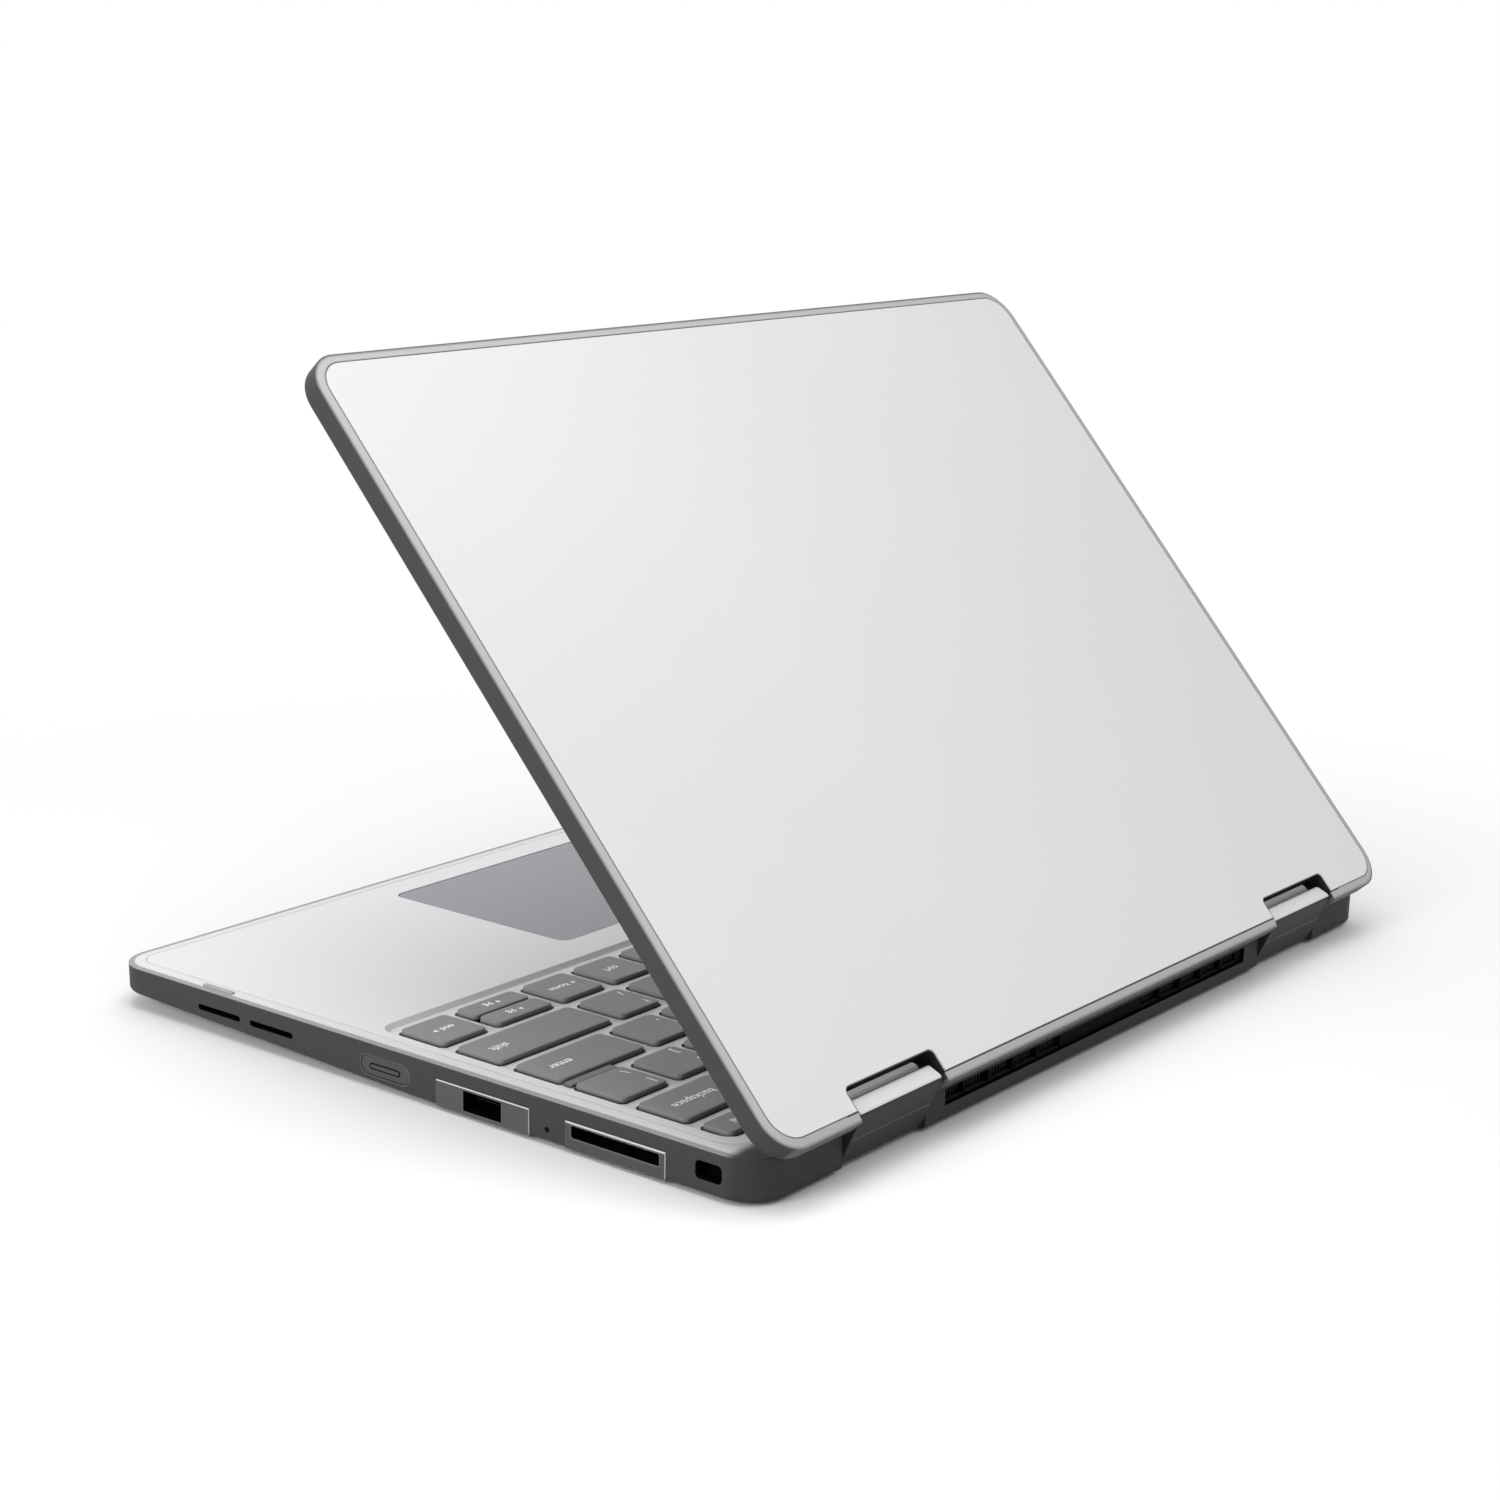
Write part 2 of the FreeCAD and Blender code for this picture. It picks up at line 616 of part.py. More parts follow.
def base_bumper():
    walls = base_slab(0, 0, BOTTOM, DECK - RIM_DROP)
    rim = frustum(-HALF_Y, 0, DECK - RIM_DROP, RIM_WIDTH, DECK)
    body = walls.fuse(rim).removeSplitter().common(above_underside(0))
    low_edges = edges_where(body, lambda p: p.z < underside(p.y) + FLUSH)
    low_edges = [edge for edge in low_edges if abs(edge.CenterOfMass.x) > HALF_X - CORNER_RADIUS
                 or abs(edge.CenterOfMass.y) > HALF_Y - CORNER_RADIUS]
    body = body.makeFillet(EDGE_ROUND, low_edges)
    wall = BUMPER_WALL
    cavity = base_slab(wall, wall, BOTTOM, CAVITY_TOP).common(above_underside(COVER_THICK))
    hollow_notch = notch(NOTCH_WALL, BOTTOM, DECK)
    cavity = cut_all(cavity, [hollow_notch, mirrored(hollow_notch)])
    cover_hole = base_slab(wall, REAR_BAND, 0, CAVITY_TOP)
    deck_pocket = base_slab(RIM_WIDTH, REAR_BAND, LEDGE_TOP, DECK + CUT_MARGIN)
    ledge = RIM_WIDTH + LEDGE_WIDTH
    deck_hole = base_slab(ledge, REAR_BAND + LEDGE_WIDTH, CAVITY_TOP, DECK)
    base_notch = notch(0, 0, DECK + CUT_MARGIN)
    notch_wall_x = NOTCH_OUTER + NOTCH_WALL
    bore = SHAFT_RADIUS + EYE_GAP
    shaft_hole = rod_x(NOTCH_OUTER - LEAST_RADIUS, notch_wall_x, AXIS_Y, BASE_AXIS_Z, bore)
    eye = eye_pocket(notch_wall_x, BASE_AXIS_Z, BUMPER_WALL)
    tools = [cavity, cover_hole, deck_pocket, deck_hole]
    for tool in (base_notch, shaft_hole, eye):
        tools += [tool, mirrored(tool)]
    body = cut_all(body, tools)
    return cut_all(body, side_cuts() + [vent_opening()])


def side_cuts():
    x0 = HALF_X - BUMPER_WALL - SEAT_GAP
    x1 = HALF_X + CUT_MARGIN
    cuts = []
    for y in CARD_YS:
        bay = card_box(y, SLIDE_GAP).common(box(x0, x1, -HALF_Y, HALF_Y, 0, DECK))
        cuts += [bay, mirrored(bay)]
    for step in range(2):
        y = SLOT_FRONT_Y + step * SLOT_PITCH
        slot = side_pill(x0, x1, y, BOTTOM + SLOT_RISE, SLOT_LENGTH, SLOT_HEIGHT)
        cuts += [slot, mirrored(slot)]
    length = BUTTON_LENGTH + 2 * SLIDE_GAP
    height = BUTTON_HEIGHT + 2 * SLIDE_GAP
    cuts.append(side_pill(x0, x1, BUTTON_Y, SIDE_CENTRE_Z, length, height))
    cuts.append(rod_x(x0, x1, LIGHT_Y, BOTTOM + LIGHT_RISE, LIGHT_RADIUS + RUN_GAP))
    cuts.append(side_slot(x0, x1, LOCK_Y, BOTTOM + LOCK_RISE, LOCK_WIDTH, LOCK_HEIGHT, LOCK_ROUND))
    cuts.append(rod_x(-x1, -x0, JACK_Y, SIDE_CENTRE_Z, JACK_NOSE + RUN_GAP))
    return cuts


def vent_opening():
    z = BOTTOM + VENT_RISE
    half = VENT_HEIGHT / 2
    rear = HALF_Y + CUT_MARGIN
    return box(-VENT_HALF, VENT_HALF, HALF_Y - BUMPER_WALL - SEAT_GAP, rear, z - half, z + half)


def vent_grille():
    z = BOTTOM + VENT_RISE
    half = VENT_HEIGHT / 2
    y1 = HALF_Y - BUMPER_WALL
    wide = VENT_HALF + GRILLE_BORDER
    tall = half + GRILLE_BORDER
    plate = box(-wide, wide, y1 - GRILLE_THICK, y1, z - tall, z + tall)
    edges = [RIB_FIRST + step * RIB_PITCH for step in range(RIB_COUNT)] + [VENT_HALF + RIB_THICK / 2]
    windows = []
    for near, far in zip(edges, edges[1:]):
        x0 = near + RIB_THICK / 2
        x1 = far - RIB_THICK / 2
        window = box(x0, x1, y1 - GRILLE_THICK - CUT_MARGIN, y1 + CUT_MARGIN, z - half, z + half)
        windows += [window, mirrored(window)]
    plate = cut_all(plate, windows)
    rib_rear = y1 + BUMPER_WALL / 2
    tongues = []
    for near in edges[:-1]:
        rib = box(near - RIB_THICK / 2, near + RIB_THICK / 2, y1, rib_rear, z - half, z + half)
        tongues += [rib, mirrored(rib)]
    blank = box(-RIB_FIRST, RIB_FIRST, y1, rib_rear, z - half, z + half)
    return plate.fuse(tongues + [blank]).removeSplitter()


def bottom_cover():
    gap = SEAT_GAP
    plate = base_slab(BUMPER_WALL + gap, REAR_BAND + gap, BOTTOM, DECK)
    plate = plate.common(above_underside(0)).cut(above_underside(COVER_THICK))
    standoffs = [rod_z(x, y, FLOOR, BOARD_UNDER, STANDOFF_RADIUS) for x, y in standoff_places()]
    plate = plate.fuse(standoffs).removeSplitter()
    cuts = [bay_box(gap), mirrored(bay_box(gap))]
    for x, y in screw_places():
        cuts.append(rod_z(x, y, 0, DECK, SCREW_RADIUS + gap))
        cuts.append(rod_z(x, y, 0, underside(y) + SCREW_HEAD, SCREW_HEAD_RADIUS + gap))
    for step in range(INTAKE_COUNT):
        y = FAN_Y + (step - (INTAKE_COUNT - 1) / 2) * INTAKE_PITCH
        half = INTAKE_LENGTH / 2
        sides = (FAN_X - half, FAN_X + half, y - INTAKE_WIDTH / 2, y + INTAKE_WIDTH / 2)
        cuts.append(cut_corner_slab(*sides, 0, FLOOR + gap, INTAKE_CORNER))
    return cut_all(plate, cuts)


def standoff_places():
    x = BOARD_WIDTH / 2 - 2 * STANDOFF_RADIUS
    y0 = BOARD_FRONT + 2 * STANDOFF_RADIUS
    y1 = BOARD_REAR - 2 * STANDOFF_RADIUS
    return [(-x, y0), (x, y0), (-x, y1), (x, y1)]


def top_deck():
    gap = SEAT_GAP
    flange = WELL_FLANGE
    plate = base_slab(RIM_WIDTH + gap, REAR_BAND + gap, LEDGE_TOP, DECK)
    tray = slab(-WELL_X - flange, WELL_X + flange, WELL_Y0 - flange, WELL_Y1 + flange, WELL_UNDER, DECK,
                WELL_RADIUS + flange)
    bosses = [rod_z(x, y, underside(y) + COVER_THICK + gap, DECK, BOSS_RADIUS) for x, y in screw_places()]
    slope = WELL_SLOPE
    floor_line = outline(-WELL_X + slope, WELL_X - slope, WELL_Y0 + slope, WELL_Y1 - slope, WELL_TOP,
                         WELL_RADIUS - slope)
    brim_line = outline(-WELL_X, WELL_X, WELL_Y0, WELL_Y1, DECK, WELL_RADIUS)
    well = Part.makeLoft([floor_line, brim_line], True, True)
    half = PAD_WIDTH / 2 + PAD_GAP
    y0 = PAD_CENTRE_Y - PAD_DEPTH / 2 - PAD_GAP
    y1 = PAD_CENTRE_Y + PAD_DEPTH / 2 + PAD_GAP
    pad_hole = slab(-half, half, y0, y1, BOTTOM, DECK + CUT_MARGIN, PAD_CORNER + PAD_GAP)
    deck = plate.fuse([tray] + bosses).removeSplitter()
    screw_holes = [rod_z(x, y, 0, LEDGE_TOP, SCREW_RADIUS) for x, y in screw_places()]
    return cut_all(deck.cut(well), [pad_hole] + screw_holes + key_holes())


def keyboard_plate():
    pan = slab(-WELL_X, WELL_X, WELL_Y0, WELL_Y1, PLATE_TOP - PLATE_THICK, WELL_UNDER, WELL_RADIUS)
    x = WELL_X - PLATE_RIM
    y0 = WELL_Y0 + PLATE_RIM
    y1 = WELL_Y1 - PLATE_RIM
    hollow = slab(-x, x, y0, y1, PLATE_TOP, WELL_UNDER + CUT_MARGIN, WELL_RADIUS - PLATE_RIM)
    return pan.cut(hollow)


def touchpad():
    top = DECK - KEY_SINK
    half = PAD_WIDTH / 2
    y0 = PAD_CENTRE_Y - PAD_DEPTH / 2
    return slab(-half, half, y0, y0 + PAD_DEPTH, top - TOUCHPAD_THICK, top, PAD_CORNER)


def touchpad_bracket():
    half = PAD_WIDTH / 2 + PAD_GAP + BRACKET_FLANGE
    y0 = PAD_CENTRE_Y - PAD_DEPTH / 2
    top = DECK - KEY_SINK - TOUCHPAD_THICK - CLICK_TRAVEL - RUN_GAP
    under = top - 2 * PAD_BRACKET_THICK
    pan = box(-half, half, y0, y0 + PAD_DEPTH, under, LEDGE_TOP)
    inner = half - BRACKET_FLANGE
    y1 = y0 + PAD_DEPTH + CUT_MARGIN
    hollow = box(-inner, inner, y0 - CUT_MARGIN, y1, under + PAD_BRACKET_THICK, DECK)
    dome = rod_z(0, PAD_CENTRE_Y, under, top, DOME_RADIUS)
    return pan.cut(hollow).fuse(dome).removeSplitter()


def battery_pack():
    half = BATTERY_WIDTH / 2
    y0 = BATTERY_FRONT
    y1 = BATTERY_REAR
    pad_top = DECK - KEY_SINK - TOUCHPAD_THICK - CLICK_TRAVEL - RUN_GAP - 2 * PAD_BRACKET_THICK
    z0 = pad_top - BATTERY_THICK
    pack = slab(-half, half, y0, y1, z0, pad_top, LEAST_RADIUS)
    grooves = []
    cell = BATTERY_WIDTH / BATTERY_CELLS
    for step in range(1, BATTERY_CELLS):
        x = -half + step * cell
        groove = CELL_GROOVE_WIDTH / 2
        grooves.append(box(x - groove, x + groove, y0, y1, z0 - CUT_MARGIN, z0 + CELL_GROOVE))
    return cut_all(pack, grooves)


def mainboard():
    half = BOARD_WIDTH / 2
    board = box(-half, half, BOARD_FRONT, BOARD_REAR, BOARD_UNDER, BOARD_TOP)
    fan = FAN_SIZE / 2 + FAN_CLEARANCE
    board = board.cut(box(FAN_X - fan, FAN_X + fan, FAN_Y - fan, BOARD_REAR + CUT_MARGIN, 0, DECK))
    chip = CHIP_SIZE / 2
    parts = [box(CHIP_X - chip, CHIP_X + chip, CHIP_Y - chip, CHIP_Y + chip, BOARD_TOP, CHIP_TOP)]
    for x, y, width, depth in module_places():
        half = width / 2
        y0 = y + depth / 2
        parts.append(box(x - half, x + half, y0, y0 + SOCKET_DEPTH, BOARD_TOP, BOARD_TOP + SOCKET_HEIGHT))
    return board.fuse(parts).removeSplitter()


def module_places():
    return [
        (MEMORY_X, MEMORY_Y, MEMORY_WIDTH, MEMORY_DEPTH),
        (STORAGE_X, STORAGE_Y, CARD22_WIDTH, CARD22_DEPTH),
        (WIRELESS_X, WIRELESS_Y, CARD22_WIDTH, CARD22_DEPTH),
    ]


def plug_in_module(place, chip_count):
    x, y, width, depth = place
    z0 = BOARD_TOP + MODULE_LIFT
    z1 = z0 + MODULE_THICK
    card = box(x - width / 2, x + width / 2, y - depth / 2, y + depth / 2, z0, z1)
    pitch = width / chip_count
    half_x = CHIP_SHARE * pitch / 2
    half_y = CHIP_SHARE * depth / 2
    chips = []
    for step in range(chip_count):
        middle = x + (step - (chip_count - 1) / 2) * pitch
        sides = (middle - half_x, middle + half_x, y - half_y, y + half_y)
        chips.append(box(*sides, z1, z1 + CHIP_HEIGHT))
    return card.fuse(chips).removeSplitter()


def fan_housing():
    half = FAN_SIZE / 2
    top = FLOOR + FAN_HEIGHT
    case = box(FAN_X - half, FAN_X + half, FAN_Y - half, FAN_Y + half, FLOOR, top)
    room = BLADE_RADIUS + FAN_CLEARANCE
    drum = rod_z(FAN_X, FAN_Y, FLOOR + FAN_WALL, top - FAN_WALL, room)
    mouth = box(FAN_X - room, FAN_X + room, FAN_Y, FAN_Y + FAN_SIZE, FLOOR + FAN_WALL, top - FAN_WALL)
    top_inlet = rod_z(FAN_X, FAN_Y, top - FAN_WALL - SEAT_GAP, top + CUT_MARGIN, FAN_INLET)
    low_inlet = rod_z(FAN_X, FAN_Y, 0, FLOOR + FAN_WALL + SEAT_GAP, FAN_INLET)
    arm = HUB_RADIUS / 2
    spider = box(FAN_X - room, FAN_X + room, FAN_Y - arm, FAN_Y + arm, FLOOR, FLOOR + FAN_WALL)
    pin = rod_z(FAN_X, FAN_Y, FLOOR, top - FAN_WALL, FAN_PIN)
    return cut_all(case, [drum, mouth, top_inlet, low_inlet]).fuse([spider, pin]).removeSplitter()


def fan_rotor():
    z0 = FLOOR + FAN_WALL + HUB_FLOAT
    hub = rod_z(FAN_X, FAN_Y, z0, z0 + BLADE_HEIGHT, HUB_RADIUS)
    sweep = math.radians(BLADE_SWEEP)
    root = Vector(HUB_RADIUS - BLADE_THICK, 0, z0)
    tip = Vector(BLADE_RADIUS * math.cos(sweep), BLADE_RADIUS * math.sin(sweep), z0)
    shift = Vector(0, BLADE_THICK, 0)
    section = Part.makePolygon([root, tip, tip + shift, root + shift, root])
    blade = Part.Face(section).extrude(Vector(0, 0, BLADE_HEIGHT))
    blades = []
    for step in range(BLADE_COUNT):
        copy = blade.copy()
        copy.rotate(Vector(0, 0, 0), Vector(0, 0, 1), 360.0 * step / BLADE_COUNT)
        copy.translate(Vector(FAN_X, FAN_Y, 0))
        blades.append(copy)
    bore = rod_z(FAN_X, FAN_Y, 0, DECK, FAN_PIN + RUN_GAP)
    return hub.fuse(blades).removeSplitter().cut(bore)


def heat_sink():
    half = FAN_SIZE / 2
    y1 = HALF_Y - BUMPER_WALL - GRILLE_THICK
    y0 = y1 - FIN_DEPTH
    base = box(FAN_X - half, FAN_X + half, y0, y1, PIPE_UNDER - FIN_PLATE, PIPE_UNDER)
    pitch = (FAN_SIZE - FIN_THICK) / (FIN_COUNT - 1)
    fins = []
    for step in range(FIN_COUNT):
        x = FAN_X - half + step * pitch
        fins.append(box(x, x + FIN_THICK, y0, y1, FIN_UNDER, PIPE_UNDER - FIN_PLATE))
    return base.fuse(fins).removeSplitter()


def heat_pipe():
    z = PIPE_UNDER + PIPE_THICK / 2
    row_y = HALF_Y - BUMPER_WALL - GRILLE_THICK - FIN_DEPTH / 2
    start = Vector(CHIP_X, CHIP_Y - CHIP_SIZE / 2, z)
    turn = Vector(CHIP_X, row_y - PIPE_BEND, z)
    end = Vector(FAN_X - FAN_SIZE / 2, row_y, z)
    leave = Vector(CHIP_X - PIPE_BEND, row_y, z)
    slack = PIPE_BEND * (1 - math.sqrt(0.5))
    bend = Vector(CHIP_X - slack, row_y - slack, z)
    path = Part.Wire([Part.makeLine(start, turn), arc(turn, bend, leave), Part.makeLine(leave, end)])
    across = Vector(PIPE_WIDTH / 2, 0, 0)
    upward = Vector(0, 0, PIPE_THICK / 2)
    corners = [start - across - upward, start + across - upward]
    corners += [start + across + upward, start - across + upward]
    pipe = path.makePipeShell([Part.makePolygon(corners + corners[:1])], True, False)
    chip = CHIP_SIZE / 2
    saddle_top = PIPE_UNDER + SADDLE_LAP
    saddle = box(CHIP_X - chip, CHIP_X + chip, CHIP_Y - chip, CHIP_Y + chip, CHIP_TOP, saddle_top)
    return pipe.fuse(saddle).removeSplitter()


def speaker():
    x1 = HALF_X - BUMPER_WALL
    y = SLOT_FRONT_Y + SLOT_PITCH / 2
    z = BOTTOM + SLOT_RISE
    half = SPEAKER_HEIGHT / 2
    length = SPEAKER_LENGTH / 2
    case = box(x1 - SPEAKER_DEPTH, x1, y - length, y + length, z - half, z + half)
    mouths = []
    for step in range(2):
        centre = SLOT_FRONT_Y + step * SLOT_PITCH
        x0 = x1 - SPEAKER_MOUTH
        mouths.append(side_pill(x0, x1 + CUT_MARGIN, centre, z, SLOT_LENGTH, SLOT_HEIGHT))
    return cut_all(case, mouths)


def power_button():
    x1 = HALF_X - BUTTON_SINK
    seat = HALF_X - BUMPER_WALL - SEAT_GAP
    z = SIDE_CENTRE_Z
    cap = side_pill(seat - BUTTON_FLANGE, x1, BUTTON_Y, z, BUTTON_LENGTH, BUTTON_HEIGHT)
    ridge = side_pill(seat, HALF_X, BUTTON_Y, z, RIDGE_LENGTH, RIDGE_HEIGHT)
    length = BUTTON_LENGTH + 2 * BUTTON_FLANGE
    flange = side_pill(seat - BUTTON_FLANGE, seat, BUTTON_Y, z, length, BUTTON_HEIGHT + 2 * BUTTON_LIP)
    return cap.fuse([ridge, flange]).removeSplitter()


def status_light():
    return rod_x(HALF_X - BUMPER_WALL, HALF_X, LIGHT_Y, BOTTOM + LIGHT_RISE, LIGHT_RADIUS)


def lock_bracket():
    x1 = HALF_X - BUMPER_WALL
    border = LOCK_BORDER
    y0 = LOCK_Y - LOCK_WIDTH / 2 - border
    y1 = LOCK_Y + LOCK_WIDTH / 2 + border
    z = BOTTOM + LOCK_RISE
    half = LOCK_HEIGHT / 2 + border
    plate = box(x1 - LOCK_PLATE, x1, y0, y1, z - half, z + half)
    plate = plate.common(base_slab(BUMPER_WALL, BUMPER_WALL, BOTTOM, CAVITY_TOP))
    x0 = x1 - LOCK_PLATE - CUT_MARGIN
    hole = side_slot(x0, x1 + CUT_MARGIN, LOCK_Y, z, LOCK_WIDTH, LOCK_HEIGHT, LOCK_ROUND)
    return plate.cut(hole)


def audio_jack():
    seat = -HALF_X + BUMPER_WALL
    z = SIDE_CENTRE_Z
    wide = JACK_WIDTH / 2
    tall = JACK_HEIGHT / 2
    case = box(seat, -HALF_X + JACK_LENGTH, JACK_Y - wide, JACK_Y + wide, z - tall, z + tall)
    nose = rod_x(-HALF_X, seat + LEAST_RADIUS, JACK_Y, z, JACK_NOSE)
    bore = rod_x(-HALF_X - CUT_MARGIN, -HALF_X + JACK_BORE, JACK_Y, z, JACK_RADIUS)
    return case.fuse(nose).removeSplitter().cut(bore)


def card_bay():
    body = bay_box(0)
    pockets = [card_box(y, SLIDE_GAP) for y in CARD_YS]
    body = cut_all(body, pockets)
    x0 = HALF_X - CARD_LENGTH - SLIDE_GAP - BAY_WALL
    plugs = []
    for y in CARD_YS:
        z = BOTTOM + CARD_HEIGHT / 2
        plugs.append(side_pill(x0, x0 + BAY_WALL + PLUG_LENGTH, y, z, PLUG_WIDTH, PLUG_HEIGHT))
    return body.fuse(plugs).removeSplitter()


def port_card(y, mouths):
    x0 = HALF_X - CARD_LENGTH
    half = CARD_WIDTH / 2
    body = box(x0, HALF_X, y - half, y + half, BOTTOM, CARD_TOP)
    body = body.makeFillet(CARD_ROUND, edges_where(body, lambda p: p.x < x0 + LEAST_RADIUS))
    z = BOTTOM + CARD_HEIGHT / 2
    x1 = x0 + PLUG_LENGTH + PLUG_GAP
    width = PLUG_WIDTH + 2 * PLUG_GAP
    socket = side_pill(x0 - CUT_MARGIN, x1, y, z, width, PLUG_HEIGHT + 2 * PLUG_GAP)
    return cut_all(body, [socket] + mouths)


def type_a_card():
    y = CARD_YS[0]
    z = BOTTOM + CARD_HEIGHT / 2
    x0 = HALF_X - TYPE_A_DEPTH
    half = TYPE_A_WIDTH / 2
    top = z + TYPE_A_HEIGHT / 2
    mouth = box(x0, HALF_X + CUT_MARGIN, y - half, y + half, top - TYPE_A_HEIGHT, top)
    wide = TONGUE_WIDTH / 2
    tongue_top = top - TONGUE_DROP
    tongue = box(x0, x0 + TONGUE_DEPTH, y - wide, y + wide, tongue_top - TONGUE_THICK, tongue_top)
    return port_card(y, [mouth.cut(tongue)])


def reader_card():
    y = CARD_YS[1]
    z = BOTTOM + CARD_HEIGHT / 2 + READER_RISE
    x0 = HALF_X - READER_DEPTH
    mouth = side_slot(x0, HALF_X + CUT_MARGIN, y, z, READER_WIDTH, READER_HEIGHT, READER_ROUND)
    return port_card(y, [mouth])


def type_c_card(y):
    z = BOTTOM + CARD_HEIGHT / 2
    x0 = HALF_X - TYPE_C_DEPTH
    mouth = side_pill(x0, HALF_X + CUT_MARGIN, y, z, TYPE_C_WIDTH, TYPE_C_HEIGHT)
    wide = TYPE_C_TONGUE_WIDTH / 2
    tall = TYPE_C_TONGUE_THICK / 2
    tongue = box(x0, x0 + TYPE_C_TONGUE_DEPTH, y - wide, y + wide, z - tall, z + tall)
    return mirrored(port_card(y, [mouth.cut(tongue)]))


def rubber_feet():
    feet = []
    for x in (-FOOT_X, FOOT_X):
        for y in (FRONT_FOOT_Y, REAR_FOOT_Y):
            sides = (x - FOOT_LENGTH / 2, x + FOOT_LENGTH / 2, y - FOOT_WIDTH / 2, y + FOOT_WIDTH / 2)
            feet.append(slab(*sides, 0, DECK, PILL_ROUND * FOOT_WIDTH).cut(above_underside(0)))
    return Part.makeCompound(feet)


def case_screws():
    screws = []
    for x, y in screw_places():
        z0 = underside(y)
        head_top = z0 + SCREW_HEAD
        head = rod_z(x, y, 0, head_top, SCREW_HEAD_RADIUS).common(above_underside(0))
        shank = rod_z(x, y, head_top - SEAT_GAP, LEDGE_TOP, SCREW_RADIUS)
        screws.append(head.fuse(shank).removeSplitter())
    return Part.makeCompound(screws)


# Hinge pieces are drawn with the lid shut, on the right side, and then swung open.

def gear_section(teeth_up):
    pitch = 2 * math.pi / GEAR_TEETH
    offset = 0 if teeth_up else pitch / 2
    tip = GEAR_RADIUS + GEAR_ADDENDUM
    root = GEAR_RADIUS - GEAR_DEDENDUM
    points = []
    for tooth in range(GEAR_TEETH):
        centre = tooth * pitch + offset
        corners = [(root, -TOOTH_ROOT_SHARE), (GEAR_RADIUS, -TOOTH_SHARE), (tip, -TOOTH_TIP_SHARE)]
        corners += [(radius, -share) for radius, share in reversed(corners)]
        for radius, share in corners:
            angle = centre + share * pitch / 2
            points.append((radius * math.sin(angle), radius * math.cos(angle)))
    return points


def gear(step):
    x0 = BLOCK_INNER + GEAR_END_WALL + GEAR_POCKET_GAP
    wheel = prism_x(gear_section(step % 2 == 0), x0, x0 + GEAR_WIDTH)
    wheel.translate(Vector(0, AXIS_Y, BASE_AXIS_Z + step * 2 * GEAR_RADIUS))
    return wheel


def hinge_shaft(step, eye_x):
    z = BASE_AXIS_Z + step * 2 * GEAR_RADIUS
    x0 = BLOCK_INNER + GEAR_END_WALL + GEAR_POCKET_GAP
    journal = rod_x(x0 - JOURNAL_LENGTH, x0, AXIS_Y, z, JOURNAL_RADIUS)
    stem = rod_x(x0 + GEAR_WIDTH, eye_x, AXIS_Y, z, SHAFT_RADIUS)
    tenon = rod_x(eye_x, eye_x + BRACKET_THICK, AXIS_Y, z, TENON_RADIUS)
    return gear(step).fuse([journal, stem, tenon]).removeSplitter()


def idler_gear(step, turn):
    # Neighbours in the train turn opposite ways, so opening the lid turns each idler against the next.
    z = BASE_AXIS_Z + step * 2 * GEAR_RADIUS
    x0 = BLOCK_INNER + GEAR_END_WALL + GEAR_POCKET_GAP
    length = GEAR_WIDTH + 2 * JOURNAL_LENGTH
    journal = rod_x(x0 - JOURNAL_LENGTH, x0 - JOURNAL_LENGTH + length, AXIS_Y, z, JOURNAL_RADIUS)
    wheel = gear(step)
    wheel.rotate(Vector(0, AXIS_Y, z), Vector(-1, 0, 0), turn)
    return wheel.fuse(journal).removeSplitter()


def hinge_block():
    z0 = BASE_AXIS_Z - BLOCK_END
    z1 = LID_AXIS_Z + BLOCK_END
    block = box(BLOCK_INNER, BLOCK_OUTER, AXIS_Y - BLOCK_FRONT, HALF_Y, z0, z1)
    long_edges = [edge for edge in block.Edges if edge.Length > NOTCH_OUTER - NOTCH_INNER - 2 * BLOCK_ROUND]
    block = block.makeFillet(BLOCK_ROUND, long_edges)
    x0 = BLOCK_INNER + GEAR_END_WALL
    x1 = x0 + GEAR_WIDTH + 2 * GEAR_POCKET_GAP
    reach = GEAR_RADIUS + GEAR_ADDENDUM + GEAR_POCKET_GAP
    cuts = [box(x0, x1, AXIS_Y - reach, AXIS_Y + reach, BASE_AXIS_Z - reach, LID_AXIS_Z + reach)]
    for step in range(GEAR_STEPS + 1):
        z = BASE_AXIS_Z + step * 2 * GEAR_RADIUS
        end = JOURNAL_LENGTH + 2 * GEAR_POCKET_GAP
        cuts.append(rod_x(x0 - end, x1 + end, AXIS_Y, z, JOURNAL_RADIUS + RUN_GAP))
    for z in (BASE_AXIS_Z, LID_AXIS_Z):
        cuts.append(rod_x(x1, BLOCK_OUTER + CUT_MARGIN, AXIS_Y, z, SHAFT_RADIUS + RUN_GAP))
    return cut_all(block, cuts)


def hinge_half(upper):
    seam = (BASE_AXIS_Z + LID_AXIS_Z) / 2
    z0 = seam if upper else BOTTOM
    z1 = LID_OUTER if upper else seam
    half = box(BLOCK_INNER - CUT_MARGIN, BLOCK_OUTER + CUT_MARGIN, 0, HALF_Y + CUT_MARGIN, z0, z1)
    return swing_link(hinge_block().common(half))


